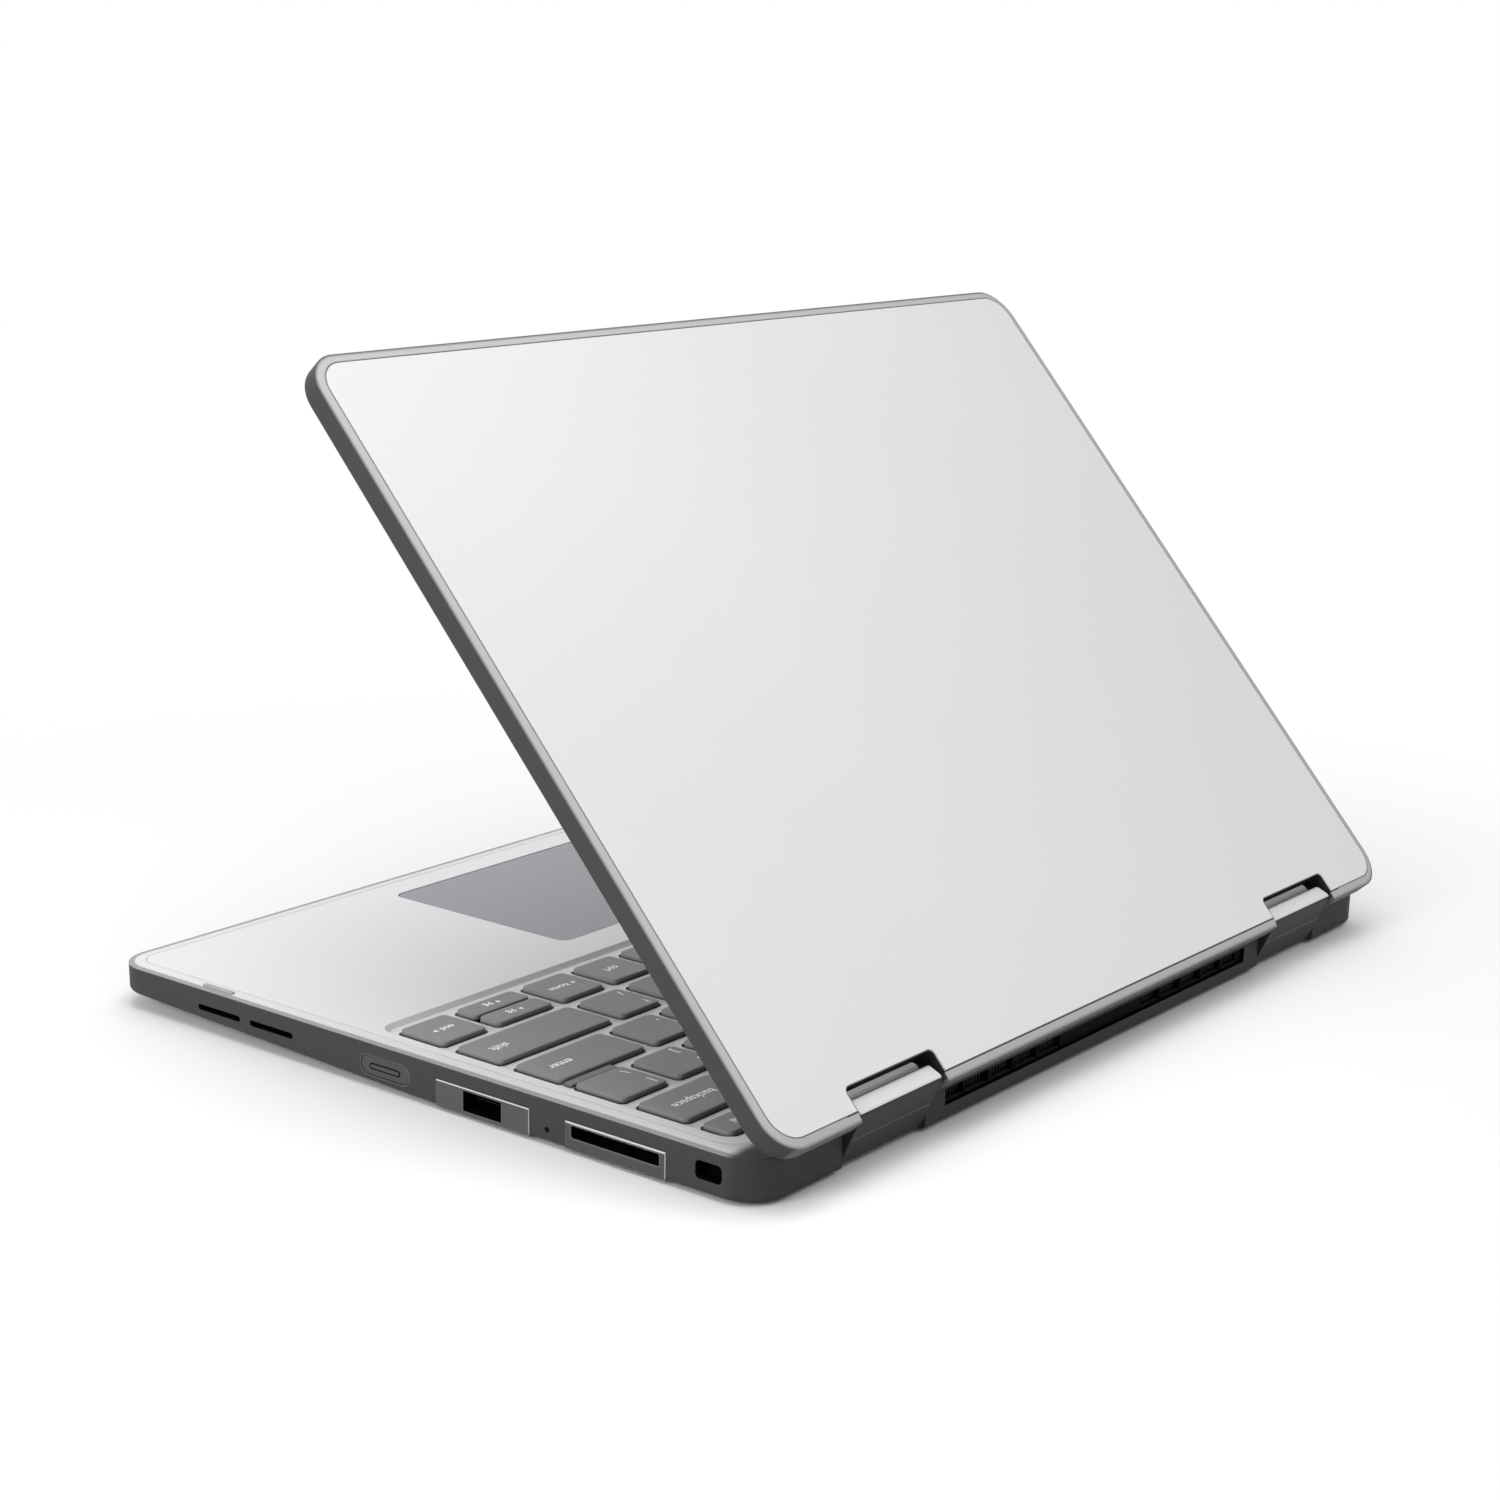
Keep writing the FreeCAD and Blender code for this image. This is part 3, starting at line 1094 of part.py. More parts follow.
def bracket(eye_x, z, foot_z0, foot_depth, wall):
    # An upright arm with an eye for the shaft's tenon, and a foot plate that lies on the shell.
    foot_z1 = foot_z0 + FOOT_PLATE_THICK
    rear = HALF_Y - wall - SEAT_GAP
    x1 = eye_x + BRACKET_THICK
    eye = rod_x(eye_x, x1, AXIS_Y, z, EYE_RADIUS)
    neck = box(eye_x, x1, rear - ARM_DEPTH, AXIS_Y, z - EYE_RADIUS, z + EYE_RADIUS)
    low = min(foot_z0, z - EYE_RADIUS)
    high = max(foot_z1, z + EYE_RADIUS)
    arm = box(eye_x, x1, rear - ARM_DEPTH, rear, low, high)
    foot = box(eye_x, eye_x + FOOT_PLATE_WIDTH, rear - foot_depth, rear, foot_z0, foot_z1)
    hole = rod_x(eye_x - CUT_MARGIN, x1 + CUT_MARGIN, AXIS_Y, z, TENON_RADIUS)
    return eye.fuse([neck, arm, foot]).removeSplitter().cut(hole)


BASE_EYE_X = NOTCH_OUTER + NOTCH_WALL + EYE_GAP
LID_EYE_X = NOTCH_OUTER + LID_NOTCH_EXTRA + NOTCH_WALL + EYE_GAP


def lid_bumper():
    walls = lid_slab(0, 0, LID_INNER, LID_OUTER - LID_RIM_DROP)
    inner_edges = edges_where(walls, lambda p: p.z < LID_INNER + FLUSH)
    walls = walls.makeFillet(LID_INNER_ROUND, inner_edges)
    rim = frustum(LID_FRONT, 0, LID_OUTER - LID_RIM_DROP, LID_RIM_WIDTH, LID_OUTER)
    body = walls.fuse(rim).removeSplitter()
    panel_under = LID_OUTER - PANEL_THICK
    bezel_top = LID_INNER + BEZEL_THICK
    cavity = lid_slab(LID_WALL, LID_WALL, bezel_top, panel_under)
    hollow_notch = notch(LID_NOTCH_EXTRA + NOTCH_WALL, LID_INNER, LID_OUTER)
    cavity = cut_all(cavity, [hollow_notch, mirrored(hollow_notch)])
    panel_pocket = lid_slab(LID_RIM_WIDTH, LID_RIM_WIDTH, panel_under, LID_OUTER + CUT_MARGIN)
    bezel_pocket = lid_slab(BEZEL_INSET, LID_BAND, LID_INNER - CUT_MARGIN, bezel_top)
    open_notch = notch(LID_NOTCH_EXTRA, LID_INNER - CUT_MARGIN, LID_OUTER + CUT_MARGIN)
    wall_x = NOTCH_OUTER + LID_NOTCH_EXTRA
    bore = SHAFT_RADIUS + EYE_GAP
    shaft_hole = rod_x(wall_x - LEAST_RADIUS, wall_x + NOTCH_WALL, AXIS_Y, LID_AXIS_Z, bore)
    eye = eye_pocket(wall_x + NOTCH_WALL, LID_AXIS_Z, LID_WALL)
    tools = [cavity, panel_pocket, bezel_pocket]
    for tool in (open_notch, shaft_hole, eye):
        tools += [tool, mirrored(tool)]
    return swing_lid(cut_all(body, tools))


def lid_panel():
    inset = LID_RIM_WIDTH + RUN_GAP
    panel = lid_slab(inset, inset, LID_OUTER - PANEL_THICK, LID_OUTER)
    open_notch = notch(LID_NOTCH_EXTRA, LID_INNER, LID_OUTER + CUT_MARGIN)
    return swing_lid(cut_all(panel, [open_notch, mirrored(open_notch)]))


def glass_slab(margin, z0, z1):
    half = GLASS_WIDTH / 2 + margin
    y0 = LID_FRONT + TOP_BEZEL
    return slab(-half, half, y0 - margin, y0 + GLASS_DEPTH + margin, z0, z1, GLASS_RADIUS)


def bezel():
    z1 = LID_INNER + BEZEL_THICK
    gap = SEAT_GAP
    frame = lid_slab(BEZEL_INSET + gap, LID_BAND + gap, LID_INNER, z1)
    frame = frame.cut(glass_slab(gap, LID_INNER - CUT_MARGIN, z1 + CUT_MARGIN))
    y = camera_y()
    lens = rod_z(0, y, LID_INNER - CUT_MARGIN, z1 + CUT_MARGIN, LENS_RADIUS + gap)
    slots = []
    for side in (-1, 1):
        x0 = side * SWITCH_OFFSET - SWITCH_WIDTH / 2 - gap
        x1 = x0 + SWITCH_WIDTH + SWITCH_TRAVEL + 2 * gap
        deep = SWITCH_DEPTH / 2 + gap
        z0 = LID_INNER - CUT_MARGIN
        slots.append(slab(x0, x1, y - deep, y + deep, z0, z1 + CUT_MARGIN, SWITCH_ROUND))
    return swing_lid(cut_all(frame, [lens] + slots))


def camera_y():
    return LID_FRONT + BEZEL_INSET + (TOP_BEZEL - BEZEL_INSET) / 2


def touch_glass():
    z0 = LID_INNER + GLASS_SINK
    return swing_lid(glass_slab(0, z0, z0 + GLASS_THICK))


def display_panel():
    z0 = LID_INNER + BEZEL_THICK
    return swing_lid(glass_slab(DISPLAY_MARGIN, z0, z0 + DISPLAY_THICK))


def camera_module():
    z0 = LID_INNER + BEZEL_THICK
    y = camera_y()
    wide = CAMERA_WIDTH / 2
    deep = CAMERA_DEPTH / 2
    board = box(-wide, wide, y - deep, y + deep, z0, z0 + CAMERA_THICK)
    lens = rod_z(0, y, z0 - BEZEL_THICK + GLASS_SINK, z0 + LEAST_RADIUS, LENS_RADIUS)
    return swing_lid(board.fuse(lens).removeSplitter())


def privacy_switch(side):
    x = side * SWITCH_OFFSET
    y = camera_y()
    z1 = LID_INNER + BEZEL_THICK
    wide = SWITCH_WIDTH / 2
    deep = SWITCH_DEPTH / 2
    z0 = LID_INNER + SEAT_GAP
    knob = slab(x - wide, x + wide, y - deep, y + deep, z0, z1 + SEAT_GAP, SWITCH_ROUND)
    wide += SWITCH_FOOT / 2
    deep += SWITCH_FOOT / 2
    foot_z = z1 + RUN_GAP
    foot = box(x - wide, x + wide, y - deep, y + deep, foot_z, foot_z + SWITCH_FOOT_THICK)
    return swing_lid(knob.fuse(foot).removeSplitter())


def lid_pads():
    pads = []
    x = HALF_X - LID_PAD_INSET
    for side in (-1, 1):
        for y in (LID_FRONT + LID_PAD_INSET, HALF_Y - LID_BAND - LID_PAD_INSET):
            pads.append(rod_z(side * x, y, LID_INNER - LID_PAD_THICK, LID_INNER, LID_PAD_RADIUS))
    return swing_lid(Part.makeCompound(pads))


def base_hinge_brackets():
    return pair(bracket(BASE_EYE_X, BASE_AXIS_Z, FLOOR, BASE_FOOT_DEPTH, BUMPER_WALL))


def lid_hinge_brackets():
    foot_z0 = LID_OUTER - PANEL_THICK - FOOT_PLATE_THICK
    return swing_lid(pair(bracket(LID_EYE_X, LID_AXIS_Z, foot_z0, LID_FOOT_DEPTH, LID_WALL)))


def lid_hinge_shafts():
    return swing_lid(pair(hinge_shaft(GEAR_STEPS, LID_EYE_X)))


PIECES = {
    "bottom_cover": bottom_cover(),
    "base_bumper": base_bumper(),
    "top_deck": top_deck(),
    "vent_grille": vent_grille(),
    "keyboard_plate": keyboard_plate(),
    "bottom_row_keys": key_group(0, lambda index: index < len(SPACE_ROW) and index != SPACE_INDEX),
    "space_bar": key_group(0, lambda index: index == SPACE_INDEX),
    "arrow_keys": arrow_keys(),
    "lower_row_keys": key_group(1, lambda index: True),
    "home_row_keys": key_group(2, lambda index: True),
    "upper_row_keys": key_group(3, lambda index: True),
    "number_row_keys": key_group(4, lambda index: True),
    "function_row_keys": key_group(5, lambda index: True),
    "touchpad": touchpad(),
    "touchpad_bracket": touchpad_bracket(),
    "battery_pack": battery_pack(),
    "mainboard": mainboard(),
    "memory_module": plug_in_module(module_places()[0], MEMORY_CHIPS),
    "storage_module": plug_in_module(module_places()[1], 1),
    "wireless_card": plug_in_module(module_places()[2], 1),
    "fan_housing": fan_housing(),
    "fan_rotor": fan_rotor(),
    "heat_sink": heat_sink(),
    "heat_pipe": heat_pipe(),
    "right_speaker": speaker(),
    "left_speaker": mirrored(speaker()),
    "power_button": power_button(),
    "status_light": status_light(),
    "lock_bracket": lock_bracket(),
    "audio_jack": audio_jack(),
    "right_card_bay": card_bay(),
    "left_card_bay": mirrored(card_bay()),
    "type_a_card": type_a_card(),
    "reader_card": reader_card(),
    "front_type_c_card": type_c_card(CARD_YS[0]),
    "rear_type_c_card": type_c_card(CARD_YS[1]),
    "rubber_feet": rubber_feet(),
    "case_screws": case_screws(),
    "base_hinge_brackets": base_hinge_brackets(),
    "base_hinge_shafts": pair(hinge_shaft(0, BASE_EYE_X)),
    "right_hinge_lower_shell": hinge_half(False),
    "right_hinge_upper_shell": hinge_half(True),
    "left_hinge_lower_shell": mirrored(hinge_half(False)),
    "left_hinge_upper_shell": mirrored(hinge_half(True)),
    "lower_idler_gears": swing_link(pair(idler_gear(1, OPEN_ANGLE / 2))),
    "upper_idler_gears": swing_link(pair(idler_gear(2, -OPEN_ANGLE / 2))),
    "lid_hinge_shafts": lid_hinge_shafts(),
    "lid_hinge_brackets": lid_hinge_brackets(),
    "lid_bumper": lid_bumper(),
    "lid_panel": lid_panel(),
    "bezel": bezel(),
    "touch_glass": touch_glass(),
    "display_panel": display_panel(),
    "camera_module": camera_module(),
    "camera_switch": privacy_switch(-1),
    "microphone_switch": privacy_switch(1),
    "lid_pads": lid_pads(),
}

# The frame's origin lies on the desk under the middle of the opened laptop.
reach = Part.makeCompound(list(PIECES.values())).BoundBox
middle = (reach.YMin + reach.YMax) / 2
os.makedirs("parts", exist_ok=True)
for name, shape in PIECES.items():
    shape.translate(Vector(0, -middle, 0))
    shape.exportStep("parts/" + name + ".step")
print(len(PIECES), "pieces written, shifted", round(middle, 4))
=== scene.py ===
import json
import math
import bmesh
import bpy
from mathutils import Matrix, Vector


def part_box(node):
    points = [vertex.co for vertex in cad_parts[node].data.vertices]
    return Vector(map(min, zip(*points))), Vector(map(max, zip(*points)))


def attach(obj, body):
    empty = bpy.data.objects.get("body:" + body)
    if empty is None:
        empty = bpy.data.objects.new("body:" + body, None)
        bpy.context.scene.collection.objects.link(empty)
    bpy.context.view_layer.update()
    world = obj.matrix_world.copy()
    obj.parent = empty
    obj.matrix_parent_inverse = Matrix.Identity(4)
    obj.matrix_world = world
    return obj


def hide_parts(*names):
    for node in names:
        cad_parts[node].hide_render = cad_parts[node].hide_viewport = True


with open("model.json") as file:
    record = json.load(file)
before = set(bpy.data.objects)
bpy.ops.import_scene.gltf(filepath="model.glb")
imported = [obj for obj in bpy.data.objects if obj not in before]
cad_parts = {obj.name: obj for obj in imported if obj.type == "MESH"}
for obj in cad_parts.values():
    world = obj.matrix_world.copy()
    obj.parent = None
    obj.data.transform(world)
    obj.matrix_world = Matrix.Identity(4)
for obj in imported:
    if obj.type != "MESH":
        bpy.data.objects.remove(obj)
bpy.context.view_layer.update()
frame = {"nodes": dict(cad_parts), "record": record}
nodes = frame["nodes"]
bodies = frame["record"]["behaviour"]["bodies"]
bodyOfNode = {node: body for body, members in bodies.items() for node in members}
mm = 0.001
xAxis, yAxis, zAxis = Vector((1, 0, 0)), Vector((0, 1, 0)), Vector((0, 0, 1))
lidTilt = math.radians(48)  # how far the lid is open from shut
linkTilt = lidTilt / 2  # the hinge blocks turn half as far
lidOut = Vector((0, math.sin(lidTilt), math.cos(lidTilt)))  # straight out of the lid's back
lidUp = Vector((0, -math.cos(lidTilt), math.sin(lidTilt)))  # from the hinge towards the lid's free edge
linkOut = Vector((0, math.cos(linkTilt), -math.sin(linkTilt)))  # straight out of the hinge blocks' rear face
linkUp = Vector((0, math.sin(linkTilt), math.cos(linkTilt)))  # straight out of the hinge blocks' top
print("frame loaded:", len(nodes), "nodes")


def grey(value, warm=0.0):
    return (value * (1 + warm), value, value * (1 - warm), 1)


def addNode(tree, kind, **values):
    node = tree.nodes.new(kind)
    for key, value in values.items():
        setattr(node, key, value)
    return node


def addMath(tree, operation, first, second):
    node = addNode(tree, "ShaderNodeMath", operation=operation)
    tree.links.new(first, node.inputs[0])
    tree.links.new(second, node.inputs[1])
    return node.outputs[0]


def addNoise(tree, coords, scale, detail):
    noise = addNode(tree, "ShaderNodeTexNoise")
    noise.inputs["Scale"].default_value = scale
    noise.inputs["Detail"].default_value = detail
    tree.links.new(coords.outputs["Object"], noise.inputs["Vector"])
    return noise.outputs["Fac"]


# mixes a second shade over a colour where the factor is one
def layShade(tree, colour, factor, shade):
    over = addNode(tree, "ShaderNodeMix", data_type="RGBA")
    over.inputs["B"].default_value = shade
    tree.links.new(factor, over.inputs["Factor"])
    tree.links.new(colour, over.inputs["A"])
    return over.outputs["Result"]


def rampStep(tree, value, start, end):
    step = addNode(tree, "ShaderNodeMapRange", interpolation_type="SMOOTHSTEP")
    step.inputs["From Min"].default_value = start
    step.inputs["From Max"].default_value = end
    tree.links.new(value, step.inputs["Value"])
    return step.outputs["Result"]


# rises from nought to one between two levels along a direction
def levelStep(tree, coords, limit):
    level = addNode(tree, "ShaderNodeVectorMath", operation="DOT_PRODUCT")
    level.inputs[1].default_value = limit["along"]
    tree.links.new(coords.outputs["Object"], level.inputs[0])
    return rampStep(tree, level.outputs["Value"], limit["start"], limit["end"])


finishDefaults = dict(cloudScale=14, cloudDetail=3, grainScale=2600, grainDetail=2, grainDepth=0.02, bump=0.12,
                      edge=0.25, edgeSamples=4, edgeHighlightFrom=0.985, edgeHighlightTo=0.86, metal=0.0, specular=0.5,
                      coat=0.0, coatRough=0.1, bands=())
shaderValues = {"Metallic": "metal", "Specular IOR Level": "specular", "Coat Weight": "coat",
                "Coat Roughness": "coatRough"}


# a finish is two shades mixed by a slow cloud, a fine grain in the gloss and bump, and rounded edges, which some
# finishes paint paler as a painted highlight
def makeFinish(name, changes):
    spec = {**finishDefaults, **changes}
    finish = bpy.data.materials.new(name)
    finish.use_nodes = True
    tree = finish.node_tree
    shader = tree.nodes["Principled BSDF"]
    coords = addNode(tree, "ShaderNodeTexCoord")
    cloud = addNoise(tree, coords, spec["cloudScale"], spec["cloudDetail"])
    grain = addNoise(tree, coords, spec["grainScale"], spec["grainDetail"])
    shade = addNode(tree, "ShaderNodeMix", data_type="RGBA")
    shade.inputs["A"].default_value = spec["dark"]
    shade.inputs["B"].default_value = spec["light"]
    tree.links.new(cloud, shade.inputs["Factor"])
    colour = shade.outputs["Result"]
    for band in spec["bands"]:  # another shade past a level along one direction
        factor = levelStep(tree, coords, band)
        for limit in band.get("within", ()):
            factor = addMath(tree, "MULTIPLY", factor, levelStep(tree, coords, limit))
        colour = layShade(tree, colour, factor, band["shade"])
    edge = addNode(tree, "ShaderNodeBevel", samples=spec["edgeSamples"])
    edge.inputs["Radius"].default_value = spec["edge"] * mm
    if "edgeHighlight" in spec:  # edges painted a lighter shade: a painted highlight
        surface = addNode(tree, "ShaderNodeNewGeometry")
        turn = addNode(tree, "ShaderNodeVectorMath", operation="DOT_PRODUCT")
        tree.links.new(edge.outputs["Normal"], turn.inputs[0])
        tree.links.new(surface.outputs["Normal"], turn.inputs[1])
        edgeLit = rampStep(tree, turn.outputs["Value"], spec["edgeHighlightFrom"], spec["edgeHighlightTo"])
        colour = layShade(tree, colour, edgeLit, spec["edgeHighlight"])
    tree.links.new(colour, shader.inputs["Base Color"])
    gloss = addNode(tree, "ShaderNodeMapRange")
    gloss.inputs["To Min"].default_value, gloss.inputs["To Max"].default_value = spec["rough"]
    tree.links.new(grain, gloss.inputs["Value"])
    tree.links.new(gloss.outputs["Result"], shader.inputs["Roughness"])
    bump = addNode(tree, "ShaderNodeBump")
    bump.inputs["Strength"].default_value = spec["bump"]
    bump.inputs["Distance"].default_value = spec["grainDepth"] * mm
    tree.links.new(grain, bump.inputs["Height"])
    tree.links.new(edge.outputs["Normal"], bump.inputs["Normal"])
    tree.links.new(bump.outputs["Normal"], shader.inputs["Normal"])
    for socket, key in shaderValues.items():
        shader.inputs[socket].default_value = spec[key]
    return finish


def farthest(node, direction):
    return max(direction.dot(v.co) for v in nodes[node].data.vertices)


# two levels, given in millimetres from a base level
def between(base, start, end):
    return dict(start=base + start * mm, end=base + end * mm)


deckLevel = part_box("top_deck")[1].z
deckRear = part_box("top_deck")[1].y
lidPlane = farthest("lid_panel", lidOut)
lidRear = farthest("lid_bumper", -lidUp)
linkTop = farthest("right_hinge_upper_shell", linkUp)
notchReach = farthest("right_hinge_upper_shell", xAxis) + 6 * mm  # a little past the outer notch wall
# the lid's notches lie near its hinge edge and inside its ends
notchLimits = [dict(along=lidUp, **between(0, 10, 0)), dict(along=xAxis, **between(notchReach, 0, -1)),
               dict(along=-xAxis, **between(notchReach, 0, -1))]
# painted shade on the lid panel's sides, rims of base and lid painted paler where lit, paler flat hinge-block tops
panelBands = [dict(along=lidOut, shade=grey(0.012), **between(lidPlane, -0.10, -0.22))]
# painted highlight: the base rim's upper part paler where light falls on it
baseBands = [dict(along=zAxis, shade=grey(0.27, 0.01), **between(deckLevel, -0.62, -0.34)),
             dict(along=zAxis, shade=(0.57, 0.575, 0.59, 1), **between(deckLevel, -0.26, -0.20)),
             # painted shade on the base rim near its rear, under the lid's edge
             dict(along=yAxis, shade=grey(0.03, 0.05), **between(deckRear, -0.5, 3.0))]
# painted light on the lid's hinge-side edge, paler where light falls on it
lidBands = [dict(along=-lidUp, shade=grey(0.11), **between(lidRear, -1.2, -0.6)),
            # painted highlight on the lid rim beside the panel
            dict(along=lidOut, shade=grey(0.34), **between(lidPlane, -0.62, -0.34)),
            # painted shade in the lid's notches
            dict(along=lidUp, shade=grey(0.012), within=notchLimits, **between(-lidRear, 2.2, 2.5))]
# the hinge blocks' topmost part in a pale shade above a level
foldBands = [dict(along=linkUp, shade=grey(0.52, -0.02), **between(linkTop, -0.42, -0.30))]
finishSpecs = {
    "lidMetal": dict(dark=grey(0.53), light=grey(0.56), rough=(0.44, 0.58), metal=0.1, specular=0.25,
                     cloudScale=9, grainScale=5200, bands=panelBands),
    "deckMetal": dict(dark=(0.56, 0.565, 0.58, 1), light=(0.595, 0.60, 0.615, 1), rough=(0.44, 0.58), metal=0.1,
                      specular=0.25, cloudScale=11, grainScale=5200),
    "coverMetal": dict(dark=grey(0.44), light=grey(0.50), rough=(0.44, 0.58), metal=0.3, cloudScale=10,
                       grainScale=4200),
    "baseBumper": dict(dark=grey(0.036, 0.05), light=grey(0.043, 0.05), rough=(0.5, 0.66), specular=0.15, edge=0.5,
                       grainScale=3400, bump=0.2, bands=baseBands),
    "lidBumper": dict(dark=grey(0.038, 0.05), light=grey(0.045, 0.05), rough=(0.5, 0.64), specular=0.15, edge=0.5,
                      grainScale=3400, bump=0.2, bands=lidBands),
    "hingeMetal": dict(dark=grey(0.024), light=grey(0.032), rough=(0.42, 0.54), specular=0.12, edge=0.3,
                       bands=foldBands),
    "keyTop": dict(dark=grey(0.182, -0.03), light=grey(0.212, -0.03), rough=(0.50, 0.66), specular=0.3,
                   grainScale=3800, bump=0.25, edge=0.2),
    # near black key sides: painted shade
    "keySideShade": dict(dark=grey(0.004), light=grey(0.007), rough=(0.6, 0.8), specular=0.03, edge=0.05),
    # near black: painted shade in holes, socket mouths and recesses
    "holeShade": dict(dark=grey(0.002), light=grey(0.004), rough=(0.7, 0.85), specular=0.0),
    "fillerPlastic": dict(dark=grey(0.10), light=grey(0.12), rough=(0.5, 0.66), grainScale=3800, bump=0.25),
    "legendInk": dict(dark=grey(0.84), light=grey(0.90), rough=(0.5, 0.6), edge=0.02, bump=0.05),
    "padGlass": dict(dark=(0.165, 0.170, 0.186, 1), light=(0.190, 0.195, 0.212, 1), rough=(0.36, 0.48),
                     cloudScale=8, specular=0.25),
    "screenGlass": dict(dark=grey(0.006), light=grey(0.009, -0.1), rough=(0.05, 0.09), bump=0.01, coat=0.6,
                        coatRough=0.03),
    "bezelPlastic": dict(dark=grey(0.016), light=grey(0.022), rough=(0.5, 0.66), grainScale=3400, bump=0.25),
    "blackPlastic": dict(dark=grey(0.008), light=grey(0.012), rough=(0.55, 0.7), bump=0.2, specular=0.3),
    "grillePlastic": dict(dark=grey(0.003), light=grey(0.006), rough=(0.6, 0.75), specular=0.04),
    "rubber": dict(dark=grey(0.016), light=grey(0.026), rough=(0.72, 0.88), grainScale=1800, bump=0.4,
                   grainDepth=0.05),
    "steel": dict(dark=grey(0.50), light=grey(0.60), rough=(0.24, 0.36), metal=1.0, grainScale=2200),
    "darkSteel": dict(dark=grey(0.06), light=grey(0.09), rough=(0.35, 0.5), metal=0.8, grainScale=2200),
    # paler edges on the cards and the button: painted highlights
    "cardMetal": dict(dark=grey(0.060, 0.03), light=grey(0.074, 0.03), rough=(0.42, 0.56), specular=0.25, edge=0.22,
                      edgeHighlight=grey(0.3, 0.01)),
    "readerMetal": dict(dark=grey(0.048, 0.03), light=grey(0.060, 0.03), rough=(0.40, 0.52), specular=0.25,
                        edge=0.22, edgeHighlight=grey(0.4, 0.01)),
    "buttonMetal": dict(dark=grey(0.042, 0.03), light=grey(0.052, 0.03), rough=(0.38, 0.5), metal=0.2, edge=0.3,
                        edgeHighlight=grey(0.08, 0.01)),
    # paler than the dark walls: painted highlights on frames and seams
    "trimHighlight": dict(dark=grey(0.075, 0.01), light=grey(0.095, 0.01), rough=(0.38, 0.5), specular=0.25, edge=0.05),
    # a paler shade for rim pads, frames and card ends: painted highlight where light falls
    "rimHighlight": dict(dark=grey(0.26), light=grey(0.31), rough=(0.45, 0.6), specular=0.25, edge=0.1),
    # painted highlight along the cards' top edges
    "paleHighlight": dict(dark=grey(0.46), light=grey(0.54), rough=(0.40, 0.55), edge=0.05),
    "seamShade": dict(dark=grey(0.06), light=grey(0.085), rough=(0.6, 0.75), edge=0.02),
    "goldContact": dict(dark=(0.75, 0.52, 0.20, 1), light=(0.85, 0.62, 0.28, 1), rough=(0.2, 0.3), metal=1.0,
                        edge=0.05),
    "copper": dict(dark=(0.60, 0.30, 0.17, 1), light=(0.72, 0.38, 0.22, 1), rough=(0.28, 0.42), metal=1.0),
    "boardLacquer": dict(dark=(0.012, 0.05, 0.035, 1), light=(0.02, 0.07, 0.05, 1), rough=(0.25, 0.4)),
    "pouchFilm": dict(dark=grey(0.02), light=grey(0.035), rough=(0.4, 0.55), cloudScale=30),
    "lightLens": dict(dark=grey(0.002), light=grey(0.004), rough=(0.3, 0.4), specular=0.03),
    "lensGlass": dict(dark=grey(0.004), light=grey(0.008, -0.2), rough=(0.03, 0.06), coat=1.0, coatRough=0.02),
}
finishes = {name: makeFinish(name, spec) for name, spec in finishSpecs.items()}
print("finishes made:", len(finishes))

nodeFinish = {
    "lid_panel": "lidMetal", "top_deck": "deckMetal", "bottom_cover": "coverMetal", "base_bumper": "baseBumper",
    "lid_bumper": "lidBumper", "bezel": "bezelPlastic", "touch_glass": "screenGlass", "touchpad": "padGlass",
    "vent_grille": "grillePlastic", "keyboard_plate": "blackPlastic", "touchpad_bracket": "steel",
    "battery_pack": "pouchFilm", "mainboard": "boardLacquer", "memory_module": "boardLacquer",
    "storage_module": "boardLacquer", "wireless_card": "boardLacquer", "fan_housing": "blackPlastic",
    "fan_rotor": "blackPlastic", "heat_sink": "darkSteel", "heat_pipe": "copper", "right_speaker": "grillePlastic",
    "left_speaker": "grillePlastic", "power_button": "buttonMetal", "status_light": "lightLens",
    "lock_bracket": "grillePlastic", "audio_jack": "blackPlastic", "right_card_bay": "blackPlastic",
    "left_card_bay": "blackPlastic", "type_a_card": "cardMetal", "reader_card": "readerMetal",
    "front_type_c_card": "cardMetal", "rear_type_c_card": "cardMetal", "rubber_feet": "rubber",
    "case_screws": "darkSteel", "base_hinge_brackets": "steel", "base_hinge_shafts": "steel",
    "lower_idler_gears": "steel", "upper_idler_gears": "steel", "lid_hinge_shafts": "steel",
    "lid_hinge_brackets": "darkSteel", "right_hinge_lower_shell": "hingeMetal",
    "right_hinge_upper_shell": "hingeMetal", "left_hinge_lower_shell": "hingeMetal",
    "left_hinge_upper_shell": "hingeMetal", "display_panel": "blackPlastic", "camera_module": "lensGlass",
    "camera_switch": "bezelPlastic", "microphone_switch": "bezelPlastic", "lid_pads": "rubber",
}
for node, finish in nodeFinish.items():
    mesh = nodes[node].data
    mesh.materials.clear()
    mesh.materials.append(finishes[finish])
print("carried-over nodes finished:", len(nodeFinish))


def newObject(name, data):
    made = bpy.data.objects.new(name, data)
    bpy.context.scene.collection.objects.link(made)
    return made


def addPiece(name, mesh, body, finishNames):
    piece = newObject(name, mesh)
    mesh.materials.clear()
    for finish in finishNames:
        mesh.materials.append(finishes[finish])
    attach(piece, body)
    return piece


def closeMesh(name, work):
    mesh = bpy.data.meshes.new(name)
    work.to_mesh(mesh)
    work.free()
    return mesh


# the mesh that an object's text or nodes make, in place of the object
def bakedMesh(carrier):
    bpy.context.view_layer.update()
    mesh = bpy.data.meshes.new_from_object(carrier.evaluated_get(bpy.context.evaluated_depsgraph_get()))
    bpy.data.objects.remove(carrier)
    return mesh


